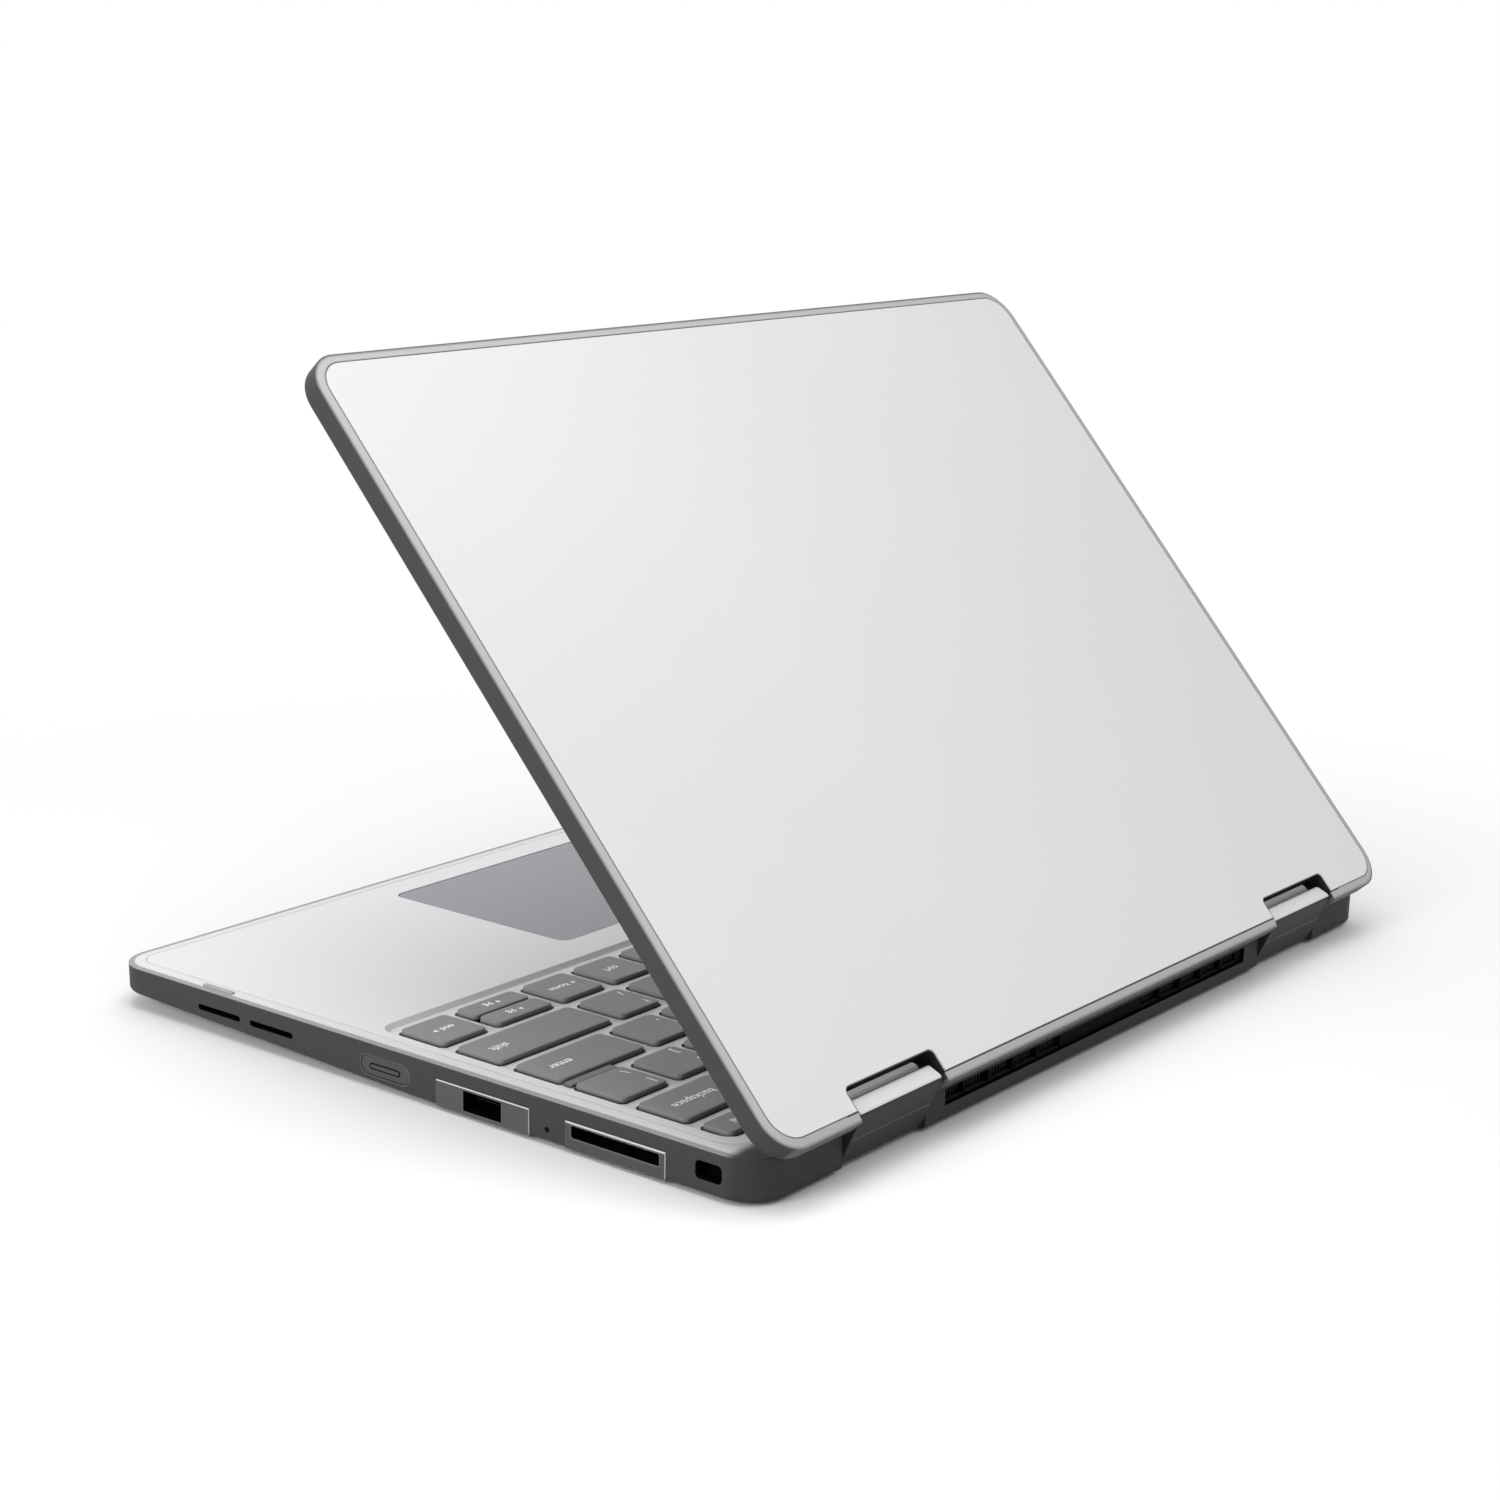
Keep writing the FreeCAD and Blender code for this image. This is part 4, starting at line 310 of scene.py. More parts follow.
def weldedCopy(node, weld):
    work = bmesh.new()
    work.from_mesh(nodes[node].data)
    bmesh.ops.remove_doubles(work, verts=work.verts, dist=weld * mm)
    return work


# the separate solids of one node, as boxes from left to right
def solidBoxes(node, weld=0.005, places=5):
    work = weldedCopy(node, weld)
    left = set(work.verts)
    boxes = []
    while left:
        front = [left.pop()]
        island = list(front)
        while front:
            here = front.pop()
            for edge in here.link_edges:
                other = edge.other_vert(here)
                if other in left:
                    left.discard(other)
                    front.append(other)
                    island.append(other)
        low = Vector([min(v.co[i] for v in island) for i in range(3)])
        high = Vector([max(v.co[i] for v in island) for i in range(3)])
        boxes.append((low, high))
    work.free()
    return sorted(boxes, key=lambda pair: (round(pair[0].x, places), pair[0].y))


# a rectangle with round corners, as points that run anticlockwise
def ringPoints(low, high, inset, radius, steps):
    points = []
    corners = [(high.x, low.y, -90), (high.x, high.y, 0), (low.x, high.y, 90), (low.x, low.y, 180)]
    for x, y, start in corners:
        cx = x - math.copysign(inset + radius, x - (low.x + high.x) / 2)
        cy = y - math.copysign(inset + radius, y - (low.y + high.y) / 2)
        for step in range(steps + 1):
            angle = math.radians(start + 90 * step / steps)
            points.append((cx + radius * math.cos(angle), cy + radius * math.sin(angle)))
    return points


# heights and insets of the rings that round an edge over
def roundLevels(top, drop, insetFrom, insetTo, steps=3):
    levels = []
    for step in range(1, steps + 1):
        angle = math.radians(90 * step / steps)
        inset = insetFrom + (insetTo - insetFrom) * (1 - math.cos(angle))
        levels.append((top - drop * (1 - math.sin(angle)), inset))
    return levels


def joinRings(work, rings):
    bands = []
    for first, second in zip(rings, rings[1:]):
        band = []
        for i in range(len(first)):
            j = (i + 1) % len(first)
            band.append(work.faces.new((first[i], first[j], second[j], second[i])))
        bands.append(band)
    return bands


# Keys: rounded caps with a soft top edge and a shallow dish, and the words printed on them; their sides and
# undersides near black, as painted shade
keySizes = dict(corner=1.7, leastCorner=0.3, sideInset=0.115, topInset=0.46, roundOver=0.36, dish=0.06, dishInset=1.6,
                lift=0.2, steps=6, shadedBands=3)
legendSizes = dict(word=3.6, sign=4.2, small=3.0, edge=2.0, inFromEnd=4.6, lift=0.02, weight=0.05, curveSteps=3,
                   wordDrop=0.3, wideKey=22, tallKey=12, rightFrom=60, pairShare=0.9, pairLow=0.3, pairHigh=2.4,
                   letterHigh=2.6, lowKeyRise=0.36)
arrowSizes = dict(aside=1.4, drop=0.9, gap=0.5, rise=0.85, size=1.0, corners=((0, 1.0), (125, 0.95), (235, 0.95)))
arrowTurns = {">": 0, "^": 90, "<": 180, "v": 270}
legends = {
    "function_row_keys": ["esc", "f1", "f2", "f3", "f4", "f5", "f6", "f7", "f8", "f9", "f10", "f11", "f12", "del"],
    "number_row_keys": ["`~", "1!", "2@", "3#", "4$", "5%", "6^", "7&", "8*", "9(", "0)", "-_", "=+", "backspace"],
    "upper_row_keys": ["tab", "q", "w", "e", "r", "t", "y", "u", "i", "o", "p", "[{", "]}", "\\|"],
    "home_row_keys": ["caps", "a", "s", "d", "f", "g", "h", "j", "k", "l", ";:", "'\"", "enter"],
    "lower_row_keys": ["shift", "z", "x", "c", "v", "b", "n", "m", ",<", ".>", "/?", "shift"],
    "bottom_row_keys": ["ctrl", "fn", "", "alt", "alt", "ctrl"],
    "space_bar": [""],
    "arrow_keys": ["<home", "vpg", "^pg", ">end"],
}


def addKeyCap(work, low, high):
    size = {key: value * mm for key, value in keySizes.items()}
    top = high.z + size["lift"]
    levels = [(low.z, 0.0), (top - size["roundOver"], size["sideInset"])]
    levels += roundLevels(top, size["roundOver"], size["sideInset"], size["topInset"])
    levels.append((top - size["dish"], size["dishInset"]))
    rings = []
    for z, inset in levels:
        corner = max(size["corner"] - inset, size["leastCorner"])
        points = ringPoints(low, high, inset, corner, keySizes["steps"])
        rings.append([work.verts.new((x, y, z)) for x, y in points])
    for index, band in enumerate(joinRings(work, rings)):
        for face in band:
            # the lower bands of each cap near black: painted shade
            face.material_index = 1 if index < keySizes["shadedBands"] else 0
            face.smooth = True
    work.faces.new(rings[-1]).smooth = True
    work.faces.new(list(reversed(rings[0]))).material_index = 1


def wordMesh(text, size):
    curve = bpy.data.curves.new("word", "FONT")
    curve.body = text
    curve.size = size * mm
    curve.resolution_u = legendSizes["curveSteps"]
    curve.offset = legendSizes["weight"] * mm
    mesh = bakedMesh(newObject("word", curve))
    xs = [v.co.x for v in mesh.vertices] or [0]
    mesh.transform(Matrix.Translation((-min(xs), 0, 0)))
    return mesh, max(xs) - min(xs)


def addWord(work, text, size, x, y, z, align):
    mesh, width = wordMesh(text, size)
    shift = {"left": 0, "right": -width, "centre": -width / 2}[align]
    mesh.transform(Matrix.Translation((x + shift, y, z)))
    work.from_mesh(mesh)
    bpy.data.meshes.remove(mesh)
    return width


def addArrow(work, direction, x, y, z):
    points = []
    for angle, share in arrowSizes["corners"]:
        turned = math.radians(angle + arrowTurns[direction])
        length = arrowSizes["size"] * share * mm
        points.append(work.verts.new((x + length * math.cos(turned), y + length * math.sin(turned), z)))
    work.faces.new(points)


# a word with an arrow beside it: on the word's left, except for the arrow to the right
def addArrowLegend(work, text, middle, z):
    direction, word = text[0], text[1:]
    side = 1 if direction == ">" else -1
    y = middle.y - arrowSizes["drop"] * mm
    wordX = middle.x - side * arrowSizes["aside"] * mm
    width = addWord(work, word, legendSizes["small"], wordX, y, z, "centre")
    x = middle.x + side * (width / 2 + arrowSizes["gap"] * mm)
    addArrow(work, direction, x, y + arrowSizes["rise"] * mm, z)


def addWordLegend(work, text, low, high, z):
    middle = (low + high) / 2
    size = legendSizes["word"] if high.y - low.y > legendSizes["tallKey"] * mm else legendSizes["small"]
    y = middle.y - size * legendSizes["wordDrop"] * mm
    inset = legendSizes["inFromEnd"] * mm
    if high.x - low.x < legendSizes["wideKey"] * mm:
        addWord(work, text, size, middle.x, y, z, "centre")
    elif middle.x > legendSizes["rightFrom"] * mm:
        addWord(work, text, size, high.x - inset, y, z, "right")
    else:
        addWord(work, text, size, low.x + inset, y, z, "left")


def addLegend(work, text, low, high):
    size = legendSizes
    edge = size["edge"] * mm
    x, z = low.x + edge, high.z + (keySizes["lift"] + size["lift"] - keySizes["dish"]) * mm
    tall = high.y - low.y
    if text[0] in arrowTurns and text[1:] in ("home", "end", "pg"):
        addArrowLegend(work, text, (low + high) / 2, z)
    elif len(text) > 2 or text == "fn":
        addWordLegend(work, text, low, high, z)
    elif len(text) == 2 and not text.startswith("f"):  # two signs, one above the other
        pair = size["sign"] * size["pairShare"]
        addWord(work, text[0], pair, x, low.y + edge + size["pairLow"] * mm, z, "left")
        addWord(work, text[1], pair, x, high.y - edge - size["pairHigh"] * mm, z, "left")
    elif tall > size["tallKey"] * mm:
        addWord(work, text, size["sign"], x, high.y - edge - size["letterHigh"] * mm, z, "left")
    else:
        addWord(work, text, size["small"], x, low.y + tall * size["lowKeyRise"], z, "left")


for node, words in legends.items():
    caps, ink = bmesh.new(), bmesh.new()
    for (low, high), text in zip(solidBoxes(node), words):
        addKeyCap(caps, low, high)
        if text:
            addLegend(ink, text, low, high)
    capMesh = closeMesh(node + "Caps", caps)
    piece = addPiece(node + "Caps", capMesh, bodyOfNode[node], ["keyTop", "keySideShade"])
    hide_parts(node)
    if any(words):
        addPiece(node + "Legends", closeMesh(node + "Legends", ink), bodyOfNode[node], ["legendInk"])
    else:
        ink.free()
print("keys made")


def roundedBlock(name, low, high, size):
    work = bmesh.new()
    roundOver = size["roundOver"] * mm
    levels = [(low.z, 0.0), (high.z - roundOver, 0.0)] + roundLevels(high.z, roundOver, 0.0, roundOver)
    rings = []
    for z, inset in levels:
        corner = max(size["corner"] * mm - inset, size["leastCorner"] * mm)
        points = ringPoints(low, high, inset, corner, size["steps"])
        rings.append([work.verts.new((x, y, z)) for x, y in points])
    for band in joinRings(work, rings):
        for face in band:
            face.smooth = True
    work.faces.new(rings[-1])
    work.faces.new(list(reversed(rings[0])))
    return closeMesh(name, work)


# Filler between the enter and backslash keys, lying on the keyboard's floor
fillerSizes = dict(gap=0.5, top=0.35, deep=1.1, corner=0.6, leastCorner=0.02, roundOver=0.3, steps=5)
enterBox = solidBoxes("home_row_keys")[-1]
slashBox = solidBoxes("upper_row_keys")[-1]
fillerGap = fillerSizes["gap"] * mm
fillerLow = Vector((slashBox[0].x, enterBox[1].y + fillerGap, deckLevel - fillerSizes["deep"] * mm))
fillerHigh = Vector((enterBox[1].x, slashBox[0].y - fillerGap, deckLevel - fillerSizes["top"] * mm))
fillerMesh = roundedBlock("keyFiller", fillerLow, fillerHigh, fillerSizes)
addPiece("keyFiller", fillerMesh, "base", ["fillerPlastic"])

# Low pads on the base's rim, which keep the lid's edge off it, painted paler where light falls on them
rimPadSizes = dict(front=-76.9, rear=-65.9, inset=2.3, wide=1.5, high=0.28, sink=0.3, corner=0.6, leastCorner=0.02,
                   roundOver=0.2, steps=5)
for side, label in ((1, "right"), (-1, "left")):
    x = side * (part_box("base_bumper")[1].x - rimPadSizes["inset"] * mm)
    half = rimPadSizes["wide"] / 2 * mm
    low = Vector((x - half, rimPadSizes["front"] * mm, deckLevel - rimPadSizes["sink"] * mm))
    high = Vector((x + half, rimPadSizes["rear"] * mm, deckLevel + rimPadSizes["high"] * mm))
    padMesh = roundedBlock(label + "RimPad", low, high, rimPadSizes)
    addPiece(label + "RimPad", padMesh, "base", ["rimHighlight"])
print("filler and rim pads made")


# A thin seam round the lid panel, drawn just inside its outline
lidSeamSizes = dict(wide=0.22, lift=0.012, weld=0.002, level=0.01, squareOn=0.999, leastTurn=0.5)


# the longest edge loop of the faces that look straight out
def faceOutline(node, out):
    work = weldedCopy(node, lidSeamSizes["weld"])
    top = max(out.dot(v.co) for v in work.verts)
    flat = set()
    for face in work.faces:
        below = abs(out.dot(face.calc_center_median()) - top)
        if face.normal.dot(out) > lidSeamSizes["squareOn"] and below < lidSeamSizes["level"] * mm:
            flat.add(face)
    following = {}
    for face in flat:
        for loop in face.loops:
            if sum(1 for f in loop.edge.link_faces if f in flat) == 1:
                following[loop.vert] = loop.link_loop_next.vert
    outlines = []
    while following:
        start, here = following.popitem()
        points = [start.co.copy()]
        while here in following:
            points.append(here.co.copy())
            here = following.pop(here)
        outlines.append(points)
    work.free()
    return max(outlines, key=lambda points: sum((a - b).length for a, b in zip(points, points[1:])))


def seamMesh(name, points, out):
    work = bmesh.new()
    pairs = []
    for i, point in enumerate(points):
        before = (point - points[i - 1]).normalized()
        after = (points[(i + 1) % len(points)] - point).normalized()
        inward = (out.cross(before) + out.cross(after)).normalized()
        inward /= max(inward.dot(out.cross(after)), lidSeamSizes["leastTurn"])
        outer = point + out * lidSeamSizes["lift"] * mm
        pairs.append((work.verts.new(outer), work.verts.new(outer + inward * lidSeamSizes["wide"] * mm)))
    for (a, b), (c, d) in zip(pairs, pairs[1:] + pairs[:1]):
        work.faces.new((a, c, d, b))
    return closeMesh(name, work)


lidSeamMesh = seamMesh("lidSeam", faceOutline("lid_panel", lidOut), lidOut)
addPiece("lidSeam", lidSeamMesh, bodyOfNode["lid_panel"], ["seamShade"])
print("seam drawn")


# Rings on a wall, joined into bands: raised frames and thin lines painted paler as highlights, and dark sheets of
# painted shade inside the openings
rearShift = -2.9225  # the frame's origin lies this far behind the base's middle
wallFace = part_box("base_bumper")[1].x
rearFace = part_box("base_bumper")[1].y
ringSizes = dict(steps=8, leastCorner=0.02, frontBand=2)


def sidePlace(side, y, z):
    at = Vector((side * wallFace, (y + rearShift) * mm, z * mm))
    return dict(at=at, along=yAxis, up=zAxis, inward=-side * xAxis)


def rearPlace(x, z):
    return dict(at=Vector((x * mm, rearFace, z * mm)), along=xAxis, up=zAxis, inward=-yAxis)


def bandMesh(name, place, size, corner, steps, capped):
    work = bmesh.new()
    low = Vector((-size[0] / 2, -size[1] / 2, 0)) * mm
    rings = []
    for inset, depth in steps:
        radius = max(corner - inset, ringSizes["leastCorner"]) * mm
        middle = place["at"] + place["inward"] * depth * mm
        points = ringPoints(low, -low, inset * mm, radius, ringSizes["steps"])
        rings.append([work.verts.new(middle + place["along"] * a + place["up"] * b) for a, b in points])
    bands = joinRings(work, rings)
    face = work.faces.new(rings[-1]) if capped else bands[ringSizes["frontBand"]][0]
    face.normal_update()
    if face.normal.dot(place["inward"]) > 0:  # this face has to look out of the wall
        bmesh.ops.reverse_faces(work, faces=work.faces)
    return closeMesh(name, work)


buttonSpot, jackSpot = sidePlace(1, -7.0, 5.7), sidePlace(-1, -7.0, 5.7)
typeASpot, readerSpot = sidePlace(1, 25.0, 4.4), sidePlace(1, 65.9, 5.4)
frontTypeCSpot, rearTypeCSpot = sidePlace(-1, 25.0, 4.4), sidePlace(-1, 65.9, 4.4)
# frames painted paler than the wall: painted highlights on the openings' edges
frameSizes = {
    "buttonFrame": dict(place=buttonSpot, size=(16.9, 5.5), corner=2.7, wide=0.24, proud=0.05,
                        body="base", finish="trimHighlight", slot="base_shell"),
    # the button's ridge drawn as a near-black line: painted shade
    "buttonRidge": dict(place=buttonSpot, size=(10.2, 1.6), corner=0.78, wide=0.30, proud=0.04,
                        body="button", finish="holeShade", slot="button"),
    "typeAFrame": dict(place=typeASpot, size=(12.9, 5.8), corner=0.3, wide=0.34, proud=0.05,
                       body="right_front_card", finish="trimHighlight", slot="card"),
    "readerFrame": dict(place=readerSpot, size=(27.0, 3.8), corner=0.5, wide=0.38, proud=0.05,
                        body="right_rear_card", finish="trimHighlight", slot="card"),
    "frontTypeCFrame": dict(place=frontTypeCSpot, size=(9.7, 3.9), corner=1.85, wide=0.34, proud=0.05,
                            body="left_front_card", finish="rimHighlight", slot="card"),
    "rearTypeCFrame": dict(place=rearTypeCSpot, size=(9.7, 3.9), corner=1.85, wide=0.34, proud=0.05,
                           body="left_rear_card", finish="rimHighlight", slot="card"),
    "jackFrame": dict(place=jackSpot, size=(5.0, 5.0), corner=2.5, wide=0.55, proud=0.05,
                      body="base", finish="rimHighlight", slot="base_shell"),
}
frameFoot = 0.05  # how far a frame reaches into the wall
frameProfile = ((0, 0.5), (0.3, 1), (0.7, 1), (1, 0.5))  # shares of a frame's width and of its height
for name, spec in frameSizes.items():
    wide, proud = spec["wide"], spec["proud"]
    raised = [(wide * across, -proud * out) for across, out in frameProfile]
    steps = [(0, frameFoot)] + raised + [(wide, frameFoot)]
    mesh = bandMesh(name, spec["place"], spec["size"], spec["corner"], steps, False)
    addPiece(name, mesh, spec["body"], [spec["finish"]])

# thin pale lines along the cards' top edges and rear ends: painted highlights
highlightLineSizes = {
    "typeATopLine": dict(place=sidePlace(1, 25.0, 7.55), size=(29.6, 0.34), body="right_front_card",
                         finish="paleHighlight"),
    "typeAEndLine": dict(place=sidePlace(1, 39.78, 4.35), size=(0.30, 6.0), body="right_front_card",
                         finish="rimHighlight"),
    "readerTopLine": dict(place=sidePlace(1, 65.9, 7.52), size=(29.6, 0.46), body="right_rear_card",
                          finish="paleHighlight"),
    "readerEndLine": dict(place=sidePlace(1, 80.68, 4.3), size=(0.30, 6.0), body="right_rear_card",
                          finish="rimHighlight"),
    "frontTypeCTopLine": dict(place=sidePlace(-1, 25.0, 7.55), size=(29.6, 0.34), body="left_front_card",
                              finish="paleHighlight"),
    "rearTypeCTopLine": dict(place=sidePlace(-1, 65.9, 7.55), size=(29.6, 0.34), body="left_rear_card",
                             finish="paleHighlight"),
}
highlightLineCorner, highlightLineSteps = 0.1, [(0, 0.02), (0, -0.012), (0.05, -0.025)]
for name, spec in highlightLineSizes.items():
    mesh = bandMesh(name, spec["place"], spec["size"], highlightLineCorner, highlightLineSteps, True)
    addPiece(name, mesh, spec["body"], [spec["finish"]])

# dark sheets set into the openings: painted shade in place of their depth
mouthShadeSizes = {
    "typeAMouthShade": dict(place=typeASpot, size=(12.2, 5.1), corner=0.05, deep=12.9, body="right_front_card",
                       slot="card"),
    "readerMouthShade": dict(place=readerSpot, size=(26.2, 3.0), corner=0.5, deep=19.0, body="right_rear_card",
                        slot="card"),
    "frontTypeCMouthShade": dict(place=frontTypeCSpot, size=(9.0, 3.2), corner=1.53, deep=6.9, body="left_front_card",
                            slot="card"),
    "rearTypeCMouthShade": dict(place=rearTypeCSpot, size=(9.0, 3.2), corner=1.53, deep=6.9, body="left_rear_card",
                           slot="card"),
    "lockHoleShade": dict(place=sidePlace(1, 93.1, 6.4), size=(7.5, 4.4), corner=1.2, deep=4.1, body="base",
                      slot="base_shell"),
    "ventShade": dict(place=rearPlace(0, 6.8), size=(144.6, 4.2), corner=0.05, deep=1.4, body="base",
                      slot="base_shell", openBack=True),
}
speakerSlots = dict(middles=(-66.0, -46.8), level=6.6, size=(15.5, 1.5), corner=0.72, deep=4.5)
for side, label in ((1, "right"), (-1, "left")):
    for number, y in enumerate(speakerSlots["middles"], 1):
        mouthShadeSizes[label + "SlotShade" + str(number)] = dict(
            place=sidePlace(side, y, speakerSlots["level"]), size=speakerSlots["size"], corner=speakerSlots["corner"],
            deep=speakerSlots["deep"], body="base", slot="base_shell")
mouthShadeGap, mouthShadeFront, mouthShadeShares = 0.02, 0.03, (0.5, 0.9, 1)
for name, spec in mouthShadeSizes.items():
    openBack = spec.get("openBack", False)
    steps = [(mouthShadeGap, mouthShadeFront)] + [(mouthShadeGap, spec["deep"] * share) for share in mouthShadeShares]
    mesh = bandMesh(name, spec["place"], spec["size"], spec["corner"], steps, not openBack)
    if openBack:  # the walls of an open tube look towards its middle
        face = mesh.polygons[len(mesh.polygons) // 2]
        if face.normal.dot(face.center - spec["place"]["at"]) > 0:
            mesh.flip_normals()
    addPiece(name, mesh, spec["body"], ["holeShade"])

# dark sheaths over the tongues inside the sockets: painted shade in the socket mouths
tongueSizes = {
    "typeATongue": dict(place=sidePlace(1, 25.0, 4.95), size=(10.84, 1.84), front=3.96, back=12.9,
                        body="right_front_card"),
    "frontTypeCTongue": dict(place=frontTypeCSpot, size=(6.04, 0.84), front=2.36, back=6.9, body="left_front_card"),
    "rearTypeCTongue": dict(place=rearTypeCSpot, size=(6.04, 0.84), front=2.36, back=6.9, body="left_rear_card"),
}
tongueEdge = 0.1
for name, spec in tongueSizes.items():
    steps = [(0, spec["back"]), (0, spec["front"] + tongueEdge), (tongueEdge, spec["front"])]
    mesh = bandMesh(name, spec["place"], spec["size"], tongueEdge, steps, True)
    addPiece(name, mesh, spec["body"], ["holeShade"])
print("frames, trims and linings made")


# Geometry Nodes: rows of bars, fields of dots and star recesses
def newTree(name, inputs):
    tree = bpy.data.node_groups.new(name, "GeometryNodeTree")
    tree.interface.new_socket("Geometry", in_out="INPUT", socket_type="NodeSocketGeometry")
    sockets = {}
    for label, kind in inputs:
        socket = tree.interface.new_socket(label, in_out="INPUT", socket_type="NodeSocket" + kind)
        sockets[label] = socket.identifier
    tree.interface.new_socket("Geometry", in_out="OUTPUT", socket_type="NodeSocketGeometry")
    return tree, sockets, addNode(tree, "NodeGroupInput"), addNode(tree, "GeometryNodeInstanceOnPoints")


def endTree(tree, source, place):
    real = addNode(tree, "GeometryNodeRealizeInstances")
    paint = addNode(tree, "GeometryNodeSetMaterial")
    out = addNode(tree, "NodeGroupOutput")
    tree.links.new(place.outputs["Instances"], real.inputs["Geometry"])
    tree.links.new(real.outputs["Geometry"], paint.inputs["Geometry"])
    tree.links.new(source.outputs["Finish"], paint.inputs["Material"])
    tree.links.new(paint.outputs["Geometry"], out.inputs["Geometry"])


def barRowTree():
    inputs = (("Count", "Int"), ("Start", "Vector"), ("Step", "Vector"), ("Bar Size", "Vector"),
              ("Finish", "Material"))
    tree, sockets, source, place = newTree("barRow", inputs)
    line = addNode(tree, "GeometryNodeMeshLine", mode="OFFSET")
    bar = addNode(tree, "GeometryNodeMeshCube")
    tree.links.new(source.outputs["Count"], line.inputs["Count"])
    tree.links.new(source.outputs["Start"], line.inputs["Start Location"])
    tree.links.new(source.outputs["Step"], line.inputs["Offset"])
    tree.links.new(source.outputs["Bar Size"], bar.inputs["Size"])
    tree.links.new(line.outputs["Mesh"], place.inputs["Points"])
    tree.links.new(bar.outputs["Mesh"], place.inputs["Instance"])
    endTree(tree, source, place)
    return tree, sockets


def dotFieldTree(dotCorners=10):
    inputs = (("Wide", "Float"), ("Tall", "Float"), ("Columns", "Int"), ("Rows", "Int"), ("Radius", "Float"),
              ("Finish", "Material"))
    tree, sockets, source, place = newTree("dotField", inputs)
    grid = addNode(tree, "GeometryNodeMeshGrid")
    dot = addNode(tree, "GeometryNodeMeshCircle", fill_type="NGON")
    dot.inputs["Vertices"].default_value = dotCorners
    tree.links.new(source.outputs["Wide"], grid.inputs["Size X"])
    tree.links.new(source.outputs["Tall"], grid.inputs["Size Y"])
    tree.links.new(source.outputs["Columns"], grid.inputs["Vertices X"])
    tree.links.new(source.outputs["Rows"], grid.inputs["Vertices Y"])
    tree.links.new(source.outputs["Radius"], dot.inputs["Radius"])
    tree.links.new(grid.outputs["Mesh"], place.inputs["Points"])
    tree.links.new(dot.outputs["Mesh"], place.inputs["Instance"])
    endTree(tree, source, place)
    return tree, sockets


def starTree():
    inputs = (("Points", "Int"), ("Inner", "Float"), ("Outer", "Float"), ("Finish", "Material"))
    tree, sockets, source, place = newTree("starRecess", inputs)
    star = addNode(tree, "GeometryNodeCurveStar")
    fill = addNode(tree, "GeometryNodeFillCurve")
    tree.links.new(source.outputs["Points"], star.inputs["Points"])
    tree.links.new(source.outputs["Inner"], star.inputs["Inner Radius"])
    tree.links.new(source.outputs["Outer"], star.inputs["Outer Radius"])
    tree.links.new(star.outputs["Curve"], fill.inputs["Curve"])
    tree.links.new(source.outputs["Geometry"], place.inputs["Points"])
    tree.links.new(fill.outputs["Mesh"], place.inputs["Instance"])
    place.inputs["Rotation"].default_value = (math.pi, 0, 0)  # the recesses look down
    endTree(tree, source, place)
    return tree, sockets


barRow, dotField, starRecess = barRowTree(), dotFieldTree(), starTree()


def growMesh(name, made, values, base):
    tree, sockets = made
    carrier = newObject(name, base)
    grow = carrier.modifiers.new("grow", "NODES")
    grow.node_group = tree
    for label, value in values.items():
        grow[sockets[label]] = value
    mesh = bakedMesh(carrier)
    mesh.name = name
    return mesh


barRows = {
    "typeAContacts": dict(body="right_front_card", slot="card", finish="goldContact", count=4,
                          start=(136.5, 21.6 + rearShift, 3.98), step=(0, 2.27, 0), size=(5.0, 1.0, 0.12)),
    "readerContacts": dict(body="right_rear_card", slot="card", finish="goldContact", count=9,
                           start=(136.5, 56.0 + rearShift, 3.98), step=(0, 2.45, 0), size=(3.4, 1.1, 0.10)),
    "frontTypeCContacts": dict(body="left_front_card", slot="card", finish="goldContact", count=10,
                               start=(-139.5, 22.75 + rearShift, 4.82), step=(0, 0.5, 0), size=(2.6, 0.28, 0.06)),
    "rearTypeCContacts": dict(body="left_rear_card", slot="card", finish="goldContact", count=10,
                              start=(-139.5, 63.65 + rearShift, 4.82), step=(0, 0.5, 0), size=(2.6, 0.28, 0.06)),
    "rightVentFins": dict(body="base", slot="grille", finish="darkSteel", count=42,
                          start=(20.2, 103.2 + rearShift, 6.8), step=(1.25, 0, 0), size=(0.22, 0.8, 4.1)),
    "leftVentFins": dict(body="base", slot="grille", finish="darkSteel", count=42,
                         start=(-20.2, 103.2 + rearShift, 6.8), step=(-1.25, 0, 0), size=(0.22, 0.8, 4.1)),
}
for name, spec in barRows.items():
    values = {"Count": spec["count"], "Start": Vector(spec["start"]) * mm, "Step": Vector(spec["step"]) * mm,
              "Bar Size": Vector(spec["size"]) * mm, "Finish": finishes[spec["finish"]]}
    mesh = growMesh(name, barRow, values, bpy.data.meshes.new(name + "Base"))
    addPiece(name, mesh, spec["body"], [spec["finish"]])

# dark stars on the heads of the case screws: painted shade in place of their recesses
starSizes = dict(points=6, inner=0.55, outer=0.95, lift=0.02)
heads = []
for low, high in solidBoxes("case_screws"):
    heads.append(((low.x + high.x) / 2, (low.y + high.y) / 2, low.z - starSizes["lift"] * mm))
headMesh = bpy.data.meshes.new("screwHeads")
headMesh.from_pydata(heads, [], [])
starValues = {"Points": starSizes["points"], "Inner": starSizes["inner"] * mm, "Outer": starSizes["outer"] * mm,
              "Finish": finishes["holeShade"]}
starMesh = growMesh("screwRecessShade", starRecess, starValues, headMesh)
addPiece("screwRecessShade", starMesh, "base", ["holeShade"])

